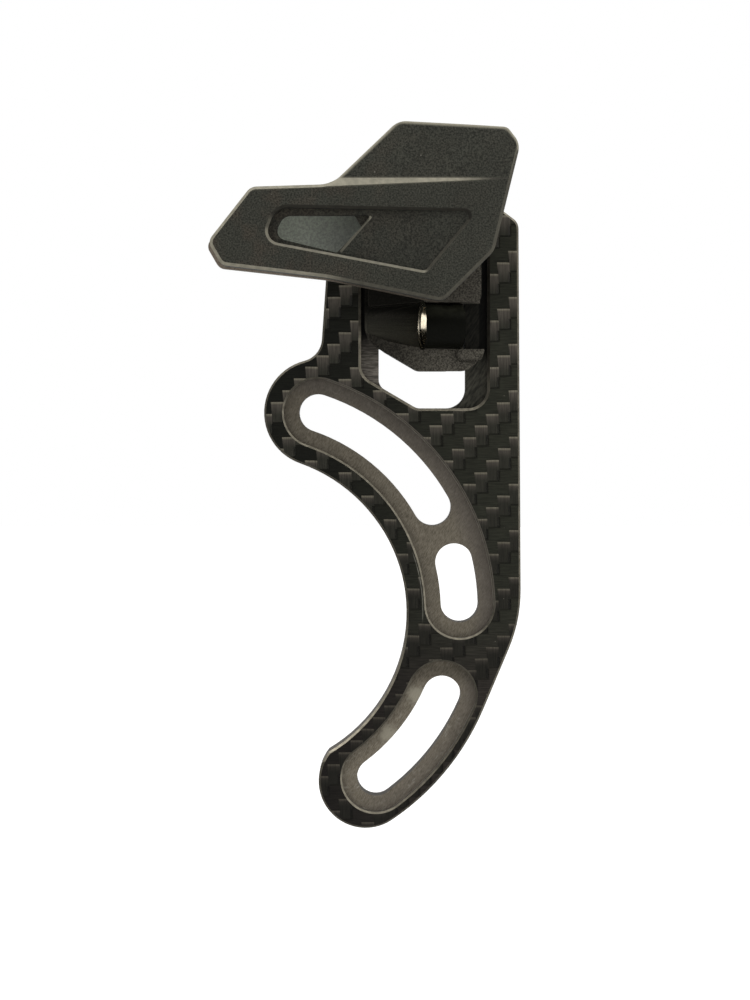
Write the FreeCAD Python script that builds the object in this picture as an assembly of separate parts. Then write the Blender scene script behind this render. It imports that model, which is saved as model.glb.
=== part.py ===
"""Bicycle chain guide: carbon backplate, height slider and two-wall chain cage.

Lengths are in millimetres. X runs towards the front of the bicycle, Z runs up, and -Y points
outboard, away from the frame. The origin is the crank axis on the rear face of the backplate,
which is the face that lies on the frame's three guide tabs.
"""

import FreeCAD
import Part

import math
import os

# Bolt circle of the frame's guide tabs
SLOT_R = 36.0            # radius of the circle that the three tab bolts lie on
SLOT_W = 6.5             # clearance for an M6 bolt
UPPER_SLOT = (29.7, 71.4)  # first and last direction of each slot, degrees
MIDDLE_SLOT = (1.8, 13.3)
LOWER_SLOT = (-53.3, -23.9)
PAD_OUT = 5.85           # the machined pads for the bolt heads reach this far outside it
PAD_LAND = 2.55          # from the bay to the inner side of these pads
PAD_DEPTH = 1.2          # depth of the pads below the outboard face
PAD_CHAMFER = 0.3        # broken edge around the pads

# Backplate
PLATE_T = 4.0            # thickness of the plate
BAY_R = 27.6             # open bay around the bottom bracket shell
BAY_X = -0.76            # centre of the bay, a little behind and below the crank axis
BAY_Z = -0.64
OUTER_EDGE = 7.5         # from the bolt circle to the lower outer edge
LOBE_BITE = 0.42         # the lower lobe is this much wider than the arm that it ends
LOWER_LOBE_A = -56.1     # direction of the lower lobe from the crank axis, degrees
FLARE_A = 22.9           # how far the straight flank leans, and where the outer arc ends
FLANK_R = 25.8           # blend from the leaning flank to the front edge
EDGE_CHAMFER = 0.35      # broken edge around the outboard face
FRONT_RIB = 5.78         # from the pocket to the front edge, at the level of the crank axis
FRONT_LEAN = 0.006       # the front edge leans back by this much per millimetre
NECK_RIB = 9.97          # from the pocket to the rear edge of the neck, at the same level
NECK_LEAN = 0.0688       # lean of that edge per millimetre of height
NECK_FILLET = 4.0        # blend from the neck into the upper lobe
TOP_RIB = 4.5            # from the pocket's roof to the top edge
SHOULDER_A = 37.0        # slope of the two top corners, degrees
FRONT_SHOULDER_H = 7.1   # height of the front shoulder
REAR_SHOULDER_H = 4.0    # height of the rear shoulder
SHOULDER_R = 2.2         # rounding of the shoulders

# Pocket for the height slider
POCKET_X0 = 18.95        # rear wall of the pocket
POCKET_W = 21.78         # width of the pocket
POCKET_DROP = 1.12       # the floor lies this far below the top of the bolt circle
POCKET_DEPTH = 1.4       # depth of the ledges below the outboard face
SLOPE_RUN = 9.59         # how far the sloping corner reaches along the floor
SLOPE_A = 30.4           # its slope, degrees
POCKET_R = 3.4           # floor corner
POCKET_TOP_R = 3.2       # roof corners
SLOPE_R = 3.2            # blend from the rear wall into the sloping corner
OPENING_R = 2.0          # the same blend in the opening behind the ledges
SLOPE_FOOT_R = 2.0       # blend from the sloping corner into the floor
RIM_CHAMFER = 0.45       # broken edge of the pocket
LEDGE_REAR = 3.05        # width of the ledge at the rear wall
LEDGE_FRONT = 3.77       # width of the ledge at the front wall
LEDGE_TOP = 0.8          # width of the ledge under the roof

# Height slider
TRAVEL_DOWN = 6.2        # height adjustment below the position shown
TRAVEL_UP = 5.5          # height adjustment above the position shown
END_GAP = 0.2            # clearance left at both ends of the travel
REAR_GAP = 0.65          # clearance of the slider's flange at the rear wall
FRONT_GAP = 1.3          # its clearance at the front wall, which the pointer bridges
TONGUE_GAP = 0.3         # clearance of the slider's tongue in the opening
FLANGE_R = 4.6           # blend from the flange's rear side into its sloping corner
TONGUE_R = 1.2           # the same blend on the tongue
SLIDE_FIT = 0.05         # running clearance of sliding faces
LOWER_PROUD = 0.15       # how far the lower half stands out of the plate
BLOCK_PROUD = 4.0        # how far the rail block stands out of the plate
BLOCK_R = 1.0            # corner rounding of the rail block
BLOCK_INSET = 0.64       # the rail block stands this far inside the rear side of the flange
POINTER_L = 4.75         # pill-shaped pointer that reaches towards the front wall
POINTER_W = 1.8
POINTER_H = 0.5
POINTER_GAP = 0.45       # its clearance at that wall
POINTER_SLANT = 0.6      # its lower end corner stays back by this much
POINTER_R = 0.5          # rounding of that corner
POINTER_GROOVE = 0.45    # width of the groove around it
POINTER_SINK = 0.3       # depth of that groove
SCOOP_RIM = 0.85         # thin wall left at the mouth of the key scoop
SCOOP_R = 3.1            # radius of the scoop there; it widens to the barrel's channel

# Lock barrel, in a channel across the slider
BARREL_R = 3.9
BARREL_L = 6.45          # length between its end faces, measured along X
BARREL_RISE = 7.72       # height of its axis above the slider's foot
BARREL_END_GAP = 0.56    # from the plain end to the side of the slider's tongue
BARREL_PROUD = 0.25      # the axis leaves the plain end this far outboard of the plate
BARREL_TILT = 10.0       # the socket end leans outboard by this angle
BARREL_FIT = 0.05        # running clearance around the barrel
CAM_DEPTH = 0.35         # depth of the release flat on the barrel
CAM_W = 3.0              # width of that flat along the barrel
RING_OVER = 0.25         # the steel ring's flange stands this far out of the barrel
RING_T = 0.2             # thickness of that flange
RING_SEAT_R = 3.5        # the ring's sleeve, pressed into the barrel
RING_DEPTH = 1.7         # how deep the sleeve sits
RING_WALL = 0.35         # wall of the sleeve
RING_LEAD = 0.2          # broken edge of its mouth
RING_FIT = 0.1           # clearance of the flange in the slider
HEX_AF = 4.0             # socket across flats
HEX_DEPTH = 4.0

# Keeper in the inboard face
KEEPER_T = 1.0
KEEPER_RECESS = 1.2      # depth of its recess
KEEPER_OVERLAP = 2.4     # how far the keeper reaches over the ledges
KEEPER_GAP = 0.3         # clearance around the keeper in its recess
KEEPER_FOOT = 0.62       # from the slider's foot to the keeper's lower edge
KEEPER_HEAD = 0.2        # the keeper's upper edge stands this far above the tongue
KEEPER_R = 1.5
WINDOW_LAP = 0.4         # the keeper's window stops this far above the channel's lower wall
WINDOW_GAP = 0.1         # clearance from the window to rail and barrel

# Screws of the keeper
KSCREW_R = 1.0
KSCREW_HEAD_R = 1.4
KSCREW_L = 3.2
SCREW_FIT = 0.02         # clearance of the keeper's screws in their holes
KSCREW_INSET = 1.2       # the upper pair stands this far inside the width of the rail
DRIVE_AF = 1.3           # socket in the screw heads

# Chain cage: walls, rail and room for the chain
CHAIN_TRAVEL = 2.5       # chain line adjustment to each side
TRAVEL_GAP = 0.8         # from the rail block to the cage at the inboard end of it
INNER_T = 2.2            # inner wall
CHANNEL_W = 9.0          # room for the chain between the walls
OUTER_T = 2.5            # outer wall
WALL_CHAMFER = 0.5       # broken edge around the outer wall
INNER_CHAMFER = 0.7      # broken edge around the inner wall
INNER_LONGER = 1.4       # the inner wall reaches this much further to the rear
INNER_RISE = 0.6         # its lower edge runs this much higher
RAIL_SIDE = 1.7          # from the side of the slider's tongue to the rail
RAIL_FLOOR = 1.85        # from the barrel's channel to the rail
RAIL_H = 4.6             # height of the rail
RAIL_HEAD = 4.4          # from the rail to the top of the slider
RAIL_R = 1.0
RAIL_END_GAP = 0.2       # the rail ends this far inside the mounting face at full travel

# Corners of the cage walls, as x and z from the rail's lower rear corner, with a radius
CAGE_CORNERS = (
    (8.3, -3.0, 2.0),
    (16.5, 5.15, 2.5),
    (20.7, 22.3, 3.0),
    (18.6, 25.0, 1.4),
    (1.1, 26.05, 3.2),
    (-9.65, 15.8, 5.0),
    (-22.6, 15.4, 2.0),
    (-29.5, 6.6, 1.6),
    (-27.3, 2.8, 1.6),
    (-10.4, 0.8, 30.0),
)
RECESS_CORNERS = (
    (-18.6, 12.1, 3.0),
    (-20.5, 6.8, 2.0),
    (5.4, 1.9, 0.8),
    (13.3, 11.4, 0.8),
)
WINDOW_CORNERS = (
    (-17.4, 10.9, 1.8),
    (-19.1, 7.4, 1.6),
    (-8.8, 4.9, 0.4),
    (-3.0, 10.9, 0.4),
)
WEB_ALONG = 2.6          # a thin web fills the window's upper front corner, this far along
WEB_BACK = 2.9           # the panel's edge and this far along the top
WEB_DEPTH = 2.0          # depth of the web below the outer face
WEB_R = 0.3
PANEL_DEPTH_REAR = 1.5   # depth of the recess as far as the window reaches
PANEL_DEPTH_FRONT = 0.45  # its depth at the front end
PANEL_X0 = -9.0          # where its floor starts to rise, and where it has risen
PANEL_X1 = 13.0
RECESS_CHAMFER = 0.45    # broken edge of the recess
WINDOW_CHAMFER = 0.5     # broken edge from the panel into the window
RIDGE_START = (-13.0, 15.3)  # ridge between the lower face and the upper flange
RIDGE_END = (21.5, 16.75)
RIDGE_LEAN = 0.7         # its rear end leans forward by this much per millimetre
RIDGE_DEPTH = 1.1        # set-back of the upper flange at the rear end of the ridge
RIDGE_BEVEL = 1.6        # height of the ridge's bevel at its rear end
RIDGE_RUNOUT = 0.02      # what is left of both at the front end
ROOF_UNDER = 18.4        # underside of the roof over the chain
ROOF_REAR = -5.4         # rear end of the roof at its underside
ROOF_INSET = 0.9         # the roof stays this far inside the outline of the walls
ROOF_R = 1.0

# Fasteners of the cage
CSCREW_R = 1.5
CSCREW_HEAD_R = 2.7
CSCREW_X = (2.5, 15.6)   # from the rail's lower rear corner
CSCREW_Z = 21.4
CSCREW_AF = 2.0
INSERT_R = 2.1
INSERT_L = 1.3
HOLE_GAP = 0.1           # clearance of screws in plain holes

# Sizes that follow from those above
PAD_RADII = (BAY_R + PAD_LAND, SLOT_R + PAD_OUT)
SLOT_RADII = (SLOT_R - 0.5 * SLOT_W, SLOT_R + 0.5 * SLOT_W)
OUTER_R = SLOT_R + OUTER_EDGE
FRONT_Y = -PLATE_T
LEDGE_Y = FRONT_Y + POCKET_DEPTH
RECESS_Y = -KEEPER_RECESS
POCKET_X1 = POCKET_X0 + POCKET_W
POCKET_Z0 = SLOT_R - POCKET_DROP
SLOPE_X = POCKET_X0 + SLOPE_RUN
TONGUE_X0 = POCKET_X0 + LEDGE_REAR + TONGUE_GAP
TONGUE_X1 = POCKET_X1 - LEDGE_FRONT - TONGUE_GAP
FOOT_LIFT = TRAVEL_DOWN + END_GAP
FOOT_Z = POCKET_Z0 + FOOT_LIFT
BARREL_X1 = TONGUE_X1 - BARREL_END_GAP
BARREL_X0 = BARREL_X1 - BARREL_L
BARREL_Z = FOOT_Z + BARREL_RISE
CHANNEL_R = BARREL_R + BARREL_FIT
RING_R = BARREL_R + RING_OVER
RAIL_X0 = TONGUE_X0 + RAIL_SIDE
RAIL_X1 = TONGUE_X1 - RAIL_SIDE
RAIL_Z0 = BARREL_Z + CHANNEL_R + RAIL_FLOOR
RAIL_Z1 = RAIL_Z0 + RAIL_H
RAIL_END_Y = -CHAIN_TRAVEL - RAIL_END_GAP
SLIDER_TOP = RAIL_Z1 + RAIL_HEAD
POCKET_Z1 = SLIDER_TOP + TRAVEL_UP + END_GAP
TOP_Z = POCKET_Z1 + TOP_RIB
KEEPER_Z0 = FOOT_Z + KEEPER_FOOT
KEEPER_Z1 = SLIDER_TOP - LEDGE_TOP + KEEPER_HEAD
WINDOW_Z0 = BARREL_Z - BARREL_R + WINDOW_LAP
WINDOW_Z1 = RAIL_Z1 + WINDOW_GAP
INNER_Y = FRONT_Y - BLOCK_PROUD - CHAIN_TRAVEL - TRAVEL_GAP
INNER_FRONT_Y = INNER_Y - INNER_T
OUTER_BACK_Y = INNER_FRONT_Y - CHANNEL_W
OUTER_Y = OUTER_BACK_Y - OUTER_T
FAR = PLATE_T + BLOCK_PROUD + CHANNEL_W + 20.0  # longer than any cut has to reach


def vec(x, y, z):
    return FreeCAD.Vector(x, y, z)


def polar(radius, degrees):
    a = math.radians(degrees)
    return (radius * math.cos(a), radius * math.sin(a))


def arc_edge(centre, radius, start, end, y):
    """Circular edge about centre from angle start to angle end, in the plane at y."""
    points = []
    for a in (start, 0.5 * (start + end), end):
        px, pz = polar(radius, a)
        points.append(vec(centre[0] + px, y, centre[1] + pz))
    return Part.Arc(*points).toShape()


def rounded_wire(corners, y):
    """Closed wire through corners given as (x, z, radius), each rounded by its radius."""
    count = len(corners)
    pieces = []
    for i in range(count):
        bx, bz, radius = corners[i]
        ax, az = corners[i - 1][0], corners[i - 1][1]
        cx, cz = corners[(i + 1) % count][0], corners[(i + 1) % count][1]
        b = vec(bx, y, bz)
        back = (vec(ax, y, az) - b).normalize()
        ahead = (vec(cx, y, cz) - b).normalize()
        if radius <= 0.0:
            pieces.append((b, None, b))
            continue
        half = 0.5 * back.getAngle(ahead)
        reach = radius / math.tan(half)
        middle = (back + ahead).normalize()
        depth = radius / math.sin(half) - radius
        pieces.append((b + back * reach, b + middle * depth, b + ahead * reach))
    edges = []
    for i in range(count):
        start, via, end = pieces[i]
        if via is not None:
            edges.append(Part.Arc(start, via, end).toShape())
        following = pieces[(i + 1) % count][0]
        if end.distanceToPoint(following) > 1e-6:
            edges.append(Part.makeLine(end, following))
    return Part.Wire(edges)


def prism(wire, depth):
    """Solid from a wire in an XZ plane, pushed along Y by depth."""
    return Part.Face(wire).extrude(vec(0, depth, 0))


def slab(corners, y0, y1):
    return prism(rounded_wire(corners, y0), y1 - y0)


def box(x0, x1, y0, y1, z0, z1):
    return Part.makeBox(x1 - x0, y1 - y0, z1 - z0, vec(x0, y0, z0))


def rod(radius, start, end):
    """Cylinder between two points."""
    return Part.makeCylinder(radius, (end - start).Length, start, end - start)


def hexagon(across, start, end):
    """Six-sided prism between two points."""
    axis = (end - start).normalize()
    side = axis.cross(vec(0, 1, 0))
    if side.Length < 0.1:
        side = axis.cross(vec(0, 0, 1))
    side.normalize()
    up = axis.cross(side)
    corner = 0.5 * across / math.cos(math.pi / 6)
    ring = []
    for k in range(6):
        a = k * math.pi / 3
        ring.append(start + side * (corner * math.cos(a)) + up * (corner * math.sin(a)))
    ring.append(ring[0])
    return Part.Face(Part.makePolygon(ring)).extrude(end - start)


def slot_wire(radii, angles, y):
    """Outline of a slot with round ends, between two radii about the crank axis."""
    inner, outer = radii
    low, high = angles
    middle = 0.5 * (inner + outer)
    half = 0.5 * (outer - inner)
    return Part.Wire([
        arc_edge((0, 0), outer, low, high, y),
        arc_edge(polar(middle, high), half, high, high + 180, y),
        arc_edge((0, 0), inner, high, low, y),
        arc_edge(polar(middle, low), half, low + 180, low + 360, y),
    ])


def arc_slot(radii, angles, y0, y1):
    return prism(slot_wire(radii, angles, y0), y1 - y0)


def edges_at(shape, y, x0, x1, z0, z1):
    """Edges that lie in the plane at y, with their middles inside a window."""
    found = []
    for edge in shape.Edges:
        frame = edge.BoundBox
        flat = abs(frame.YMin - y) < 1e-4 and abs(frame.YMax - y) < 1e-4
        middle = edge.valueAt(0.5 * (edge.FirstParameter + edge.LastParameter))
        inside = x0 <= middle.x <= x1 and z0 <= middle.z <= z1
        if flat and inside:
            found.append(edge)
    return found


def countersunk(centre, direction, shank_r, head_r, length, drive):
    """Flat-headed screw: head face at centre, shank along direction, six-sided drive."""
    head_h = head_r - shank_r
    neck = centre + direction * head_h
    tip = centre + direction * length
    screw = Part.makeCone(head_r, shank_r, head_h, centre, direction).fuse(rod(shank_r, neck, tip))
    return screw.cut(hexagon(drive, centre, centre + direction * (0.8 * shank_r)))


def countersink(centre, direction, shank_r, head_r, length, gap):
    """Space that such a screw needs, with a clearance all round."""
    head_h = head_r - shank_r
    out = centre - direction * 1.0
    wide = rod(head_r + gap, out, centre)
    cone = Part.makeCone(head_r + gap, shank_r + gap, head_h, centre, direction)
    return wide.fuse([cone, rod(shank_r + gap, centre, centre + direction * length)])


# Outline of the backplate, one wire with tangent arcs
def neck_edge_x(z):
    return POCKET_X0 - NECK_RIB + NECK_LEAN * z


def front_edge_x(z):
    return POCKET_X1 + FRONT_RIB - FRONT_LEAN * z


def plate_wire(y):
    toward_lobe = math.radians(LOWER_LOBE_A)
    bay_reach = BAY_R + BAY_X * math.cos(toward_lobe) + BAY_Z * math.sin(toward_lobe)
    lower_r = 0.5 * (OUTER_R - bay_reach + LOBE_BITE)
    lower = polar(OUTER_R - lower_r, LOWER_LOBE_A)
    lobe = polar(SLOT_R, UPPER_SLOT[1])
    lobe_a = math.degrees(math.atan2(lobe[1] - BAY_Z, lobe[0] - BAY_X))
    lobe_r = math.hypot(lobe[0] - BAY_X, lobe[1] - BAY_Z) - BAY_R
    edges = [arc_edge((0, 0), OUTER_R, LOWER_LOBE_A, -FLARE_A, y)]

    # Leaning flank up to the front edge
    a = math.radians(FLARE_A)
    start = vec(OUTER_R * math.cos(a), y, -OUTER_R * math.sin(a))
    lean = math.tan(a)
    turn_z = (front_edge_x(0) - start.x + lean * start.z) / (lean + FRONT_LEAN)
    corners = [(front_edge_x(turn_z), turn_z, FLANK_R)]
    slope = math.tan(math.radians(SHOULDER_A))
    front_z = TOP_Z - FRONT_SHOULDER_H
    front_x = front_edge_x(front_z)
    corners.append((front_x, front_z, SHOULDER_R))
    corners.append((front_x - FRONT_SHOULDER_H / slope, TOP_Z, SHOULDER_R))
    rear_z = TOP_Z - REAR_SHOULDER_H
    rear_x = neck_edge_x(rear_z)
    corners.append((rear_x + REAR_SHOULDER_H / slope, TOP_Z, SHOULDER_R))
    corners.append((rear_x, rear_z, SHOULDER_R))

    # Fillet that is tangent to the neck and to the upper lobe
    tilt = math.atan(NECK_LEAN)
    normal = vec(-math.cos(tilt), 0, math.sin(tilt))
    reach = lobe_r + NECK_FILLET
    foot = vec(neck_edge_x(0), 0, 0) + normal * NECK_FILLET
    along = vec(math.sin(tilt), 0, math.cos(tilt))
    to_lobe = vec(lobe[0], 0, lobe[1]) - foot
    offset = to_lobe.dot(normal)
    rise = to_lobe.dot(along) + math.sqrt(reach * reach - offset * offset)
    centre = foot + along * rise
    on_neck = centre - normal * NECK_FILLET
    outward = (vec(lobe[0], 0, lobe[1]) - centre).normalize()
    on_lobe = centre + outward * NECK_FILLET
    half_way = (outward - normal).normalize()
    via = centre + half_way * NECK_FILLET
    end = vec(on_neck.x, y, on_neck.z)

    chain = [start]
    for i in range(len(corners)):
        bx, bz, radius = corners[i]
        b = vec(bx, y, bz)
        before = start if i == 0 else vec(corners[i - 1][0], y, corners[i - 1][1])
        after = end if i == len(corners) - 1 else vec(corners[i + 1][0], y, corners[i + 1][1])
        back = (before - b).normalize()
        ahead = (after - b).normalize()
        half = 0.5 * back.getAngle(ahead)
        reach = radius / math.tan(half)
        middle = (back + ahead).normalize()
        first = b + back * reach
        last = b + ahead * reach
        edges.append(Part.makeLine(chain[-1], first))
        edges.append(Part.Arc(first, b + middle * (radius / math.sin(half) - radius), last).toShape())
        chain.append(last)
    edges.append(Part.makeLine(chain[-1], end))
    edges.append(Part.Arc(end, vec(via.x, y, via.z), vec(on_lobe.x, y, on_lobe.z)).toShape())

    # Round the upper lobe and along the bay to where it cuts the lower lobe
    lobe_start = math.degrees(math.atan2(on_lobe.z - lobe[1], on_lobe.x - lobe[0]))
    edges.append(arc_edge(lobe, lobe_r, lobe_start, lobe_a + 180, y))
    gap = math.hypot(lower[0] - BAY_X, lower[1] - BAY_Z)
    share = (gap ** 2 + BAY_R ** 2 - lower_r ** 2) / (2 * gap * BAY_R)
    toward = math.degrees(math.atan2(lower[1] - BAY_Z, lower[0] - BAY_X))
    bay_end = toward - math.degrees(math.acos(share))
    edges.append(arc_edge((BAY_X, BAY_Z), BAY_R, lobe_a, bay_end, y))
    px, pz = polar(BAY_R, bay_end)
    corner_a = math.degrees(math.atan2(pz + BAY_Z - lower[1], px + BAY_X - lower[0])) % 360
    edges.append(arc_edge(lower, lower_r, corner_a, LOWER_LOBE_A + 360, y))
    return Part.Wire(edges)


# Corners of the pocket and of what follows its shape
def slope_z(x, lift):
    """Height of the pocket's sloping corner at x."""
    return POCKET_Z0 + lift + (SLOPE_X - x) * math.tan(math.radians(SLOPE_A))


def pocket_corners(x0, x1, lift, top, slope_r):
    """The pocket's outline between x0 and x1, raised by lift, with its roof at top."""
    return [
        (SLOPE_X, POCKET_Z0 + lift, SLOPE_FOOT_R),
        (x1, POCKET_Z0 + lift, POCKET_R),
        (x1, top, POCKET_TOP_R),
        (x0, top, POCKET_TOP_R),
        (x0, slope_z(x0, lift), slope_r),
    ]


def make_backplate():
    plate = prism(plate_wire(FRONT_Y), PLATE_T)
    plate = plate.makeChamfer(EDGE_CHAMFER, edges_at(plate, FRONT_Y, -3 * FAR, 3 * FAR, -3 * FAR, 3 * FAR))
    plate = plate.cut(slab(pocket_corners(POCKET_X0, POCKET_X1, 0, POCKET_Z1, SLOPE_R), LEDGE_Y, -FAR))
    rim = edges_at(plate, FRONT_Y, POCKET_X0 - 0.1, POCKET_X1 + 0.1, POCKET_Z0 - 0.1, POCKET_Z1 + 0.1)
    plate = plate.makeChamfer(RIM_CHAMFER, rim)
    rear = POCKET_X0 + LEDGE_REAR
    front = POCKET_X1 - LEDGE_FRONT
    opening = pocket_corners(rear, front, 0, POCKET_Z1 - LEDGE_TOP, OPENING_R)
    plate = plate.cut(slab(opening, -PLATE_T, 1.0))
    plate = plate.cut(slab(recess_corners(), RECESS_Y, 1.0))
    brim_radii = (PAD_RADII[0] - PAD_CHAMFER, PAD_RADII[1] + PAD_CHAMFER)
    for angles in ((MIDDLE_SLOT[0], UPPER_SLOT[1]), LOWER_SLOT):
        plate = plate.cut(arc_slot(PAD_RADII, angles, FRONT_Y - 1, FRONT_Y + PAD_DEPTH))
        foot = slot_wire(PAD_RADII, angles, FRONT_Y + PAD_CHAMFER)
        brim = slot_wire(brim_radii, angles, FRONT_Y)
        plate = plate.cut(Part.makeLoft([foot, brim], True, True))
    for angles in (UPPER_SLOT, MIDDLE_SLOT, LOWER_SLOT):
        plate = plate.cut(arc_slot(SLOT_RADII, angles, FRONT_Y - 1, 1.0))
    return plate


# Keeper and its recess
def keeper_span():
    x0 = POCKET_X0 + LEDGE_REAR - KEEPER_OVERLAP
    x1 = POCKET_X1 - LEDGE_FRONT + KEEPER_OVERLAP
    return x0, x1


def recess_corners():
    x0, x1 = keeper_span()
    x0 = x0 - KEEPER_GAP
    x1 = x1 + KEEPER_GAP
    z0 = KEEPER_Z0 - TRAVEL_DOWN - END_GAP
    z1 = KEEPER_Z1 + TRAVEL_UP + END_GAP
    return [(x0, z0, KEEPER_R), (x1, z0, KEEPER_R), (x1, z1, KEEPER_R), (x0, z1, KEEPER_R)]


def keeper_corners():
    x0, x1 = keeper_span()
    lift = FOOT_LIFT + 0.6 * KEEPER_FOOT
    low_x = SLOPE_X - (KEEPER_Z0 - POCKET_Z0 - lift) / math.tan(math.radians(SLOPE_A))
    return [
        (low_x, KEEPER_Z0, KEEPER_R),
        (x1, KEEPER_Z0, KEEPER_R),
        (x1, KEEPER_Z1, KEEPER_R),
        (x0, KEEPER_Z1, KEEPER_R),
        (x0, slope_z(x0, lift), KEEPER_R),
    ]


def keeper_screw_places():
    upper_z = 0.5 * (WINDOW_Z1 + KEEPER_Z1)
    lower_z = 0.5 * (KEEPER_Z0 + WINDOW_Z0)
    return [
        (0.5 * (SLOPE_X + TONGUE_X1), lower_z),
        (RAIL_X0 + KSCREW_INSET, upper_z),
        (RAIL_X1 - KSCREW_INSET, upper_z),
    ]


def make_keeper():
    y0 = RECESS_Y + SLIDE_FIT
    keeper = slab(keeper_corners(), y0, y0 + KEEPER_T)
    x0 = RAIL_X0 - WINDOW_GAP
    x1 = max(RAIL_X1, BARREL_X1) + WINDOW_GAP
    window = [
        (x0, WINDOW_Z0, RAIL_R),
        (x1, WINDOW_Z0, RAIL_R),
        (x1, WINDOW_Z1, RAIL_R),
        (x0, WINDOW_Z1, RAIL_R),
    ]
    keeper = keeper.cut(slab(window, y0 - 1, y0 + KEEPER_T + 1))
    for x, z in keeper_screw_places():
        face = vec(x, y0 + KEEPER_T, z)
        keeper = keeper.cut(countersink(face, vec(0, -1, 0), KSCREW_R, KSCREW_HEAD_R, KSCREW_L, SCREW_FIT))
    return keeper


def make_keeper_screws():
    y = RECESS_Y + SLIDE_FIT + KEEPER_T
    screws = []
    for x, z in keeper_screw_places():
        screws.append(countersunk(vec(x, y, z), vec(0, -1, 0), KSCREW_R, KSCREW_HEAD_R, KSCREW_L, DRIVE_AF))
    return Part.makeCompound(screws)


# Lock barrel and its channel
def barrel_point(x):
    """Point of the barrel's axis at x."""
    rise = (BARREL_X1 - x) * math.tan(math.radians(BARREL_TILT))
    return vec(x, FRONT_Y - BARREL_PROUD - rise, BARREL_Z)


def make_barrel():
    head = barrel_point(BARREL_X0)
    tail = barrel_point(BARREL_X1)
    axis = (head - tail).normalize()
    barrel = rod(BARREL_R, tail, head)
    middle = (head + tail) * 0.5
    flat = box(-0.5 * CAM_W, 0.5 * CAM_W, -BARREL_R, BARREL_R, BARREL_R - CAM_DEPTH, BARREL_R + 1)
    flat.rotate(vec(0, 0, 0), vec(0, 0, 1), BARREL_TILT)
    flat.translate(middle)
    barrel = barrel.cut(flat)
    floor = head - axis * RING_DEPTH
    barrel = barrel.cut(rod(RING_SEAT_R, floor, head + axis))
    return barrel.cut(hexagon(HEX_AF, floor + axis, floor - axis * HEX_DEPTH))


def make_ring():
    """Flanged steel ring, pressed into the mouth of the barrel."""
    head = barrel_point(BARREL_X0)
    axis = (head - barrel_point(BARREL_X1)).normalize()
    front = head + axis * RING_T
    ring = rod(RING_R, head, front).fuse(rod(RING_SEAT_R, head - axis * RING_DEPTH, head))
    bore = RING_SEAT_R - RING_WALL
    ring = ring.cut(rod(bore, head - axis * (RING_DEPTH + 1), front + axis))
    lead = Part.makeCone(bore, bore + 2 * RING_LEAD, 2 * RING_LEAD, front - axis * RING_LEAD, axis)
    return ring.cut(lead)


def open_channel(radius, start, end):
    """Round channel between two points of the barrel's axis, open towards the outboard side."""
    channel = rod(radius, start, end)
    along = end - start
    up = vec(0, 0, 1)
    mouth = Part.makePolygon([
        start + up * radius * 0.97,
        start + up * radius * 0.97 - vec(0, FAR, 0),
        start - up * radius * 0.97 - vec(0, FAR, 0),
        start - up * radius * 0.97,
        start + up * radius * 0.97,
    ])
    return channel.fuse(Part.Face(mouth).extrude(along))


# Height slider
def pointer(x1, z, margin, y0, y1):
    """Pill with a round rear end and a slanting front end at x1, widened by margin."""
    half = 0.5 * POINTER_W + margin
    x0 = x1 - POINTER_L - margin
    return slab([
        (x0, z - half, 0.98 * half),
        (x1 - POINTER_SLANT, z - half, POINTER_R),
        (x1, z + half, 0.5 * POINTER_R),
        (x0, z + half, 0.98 * half),
    ], y0, y1)


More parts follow.
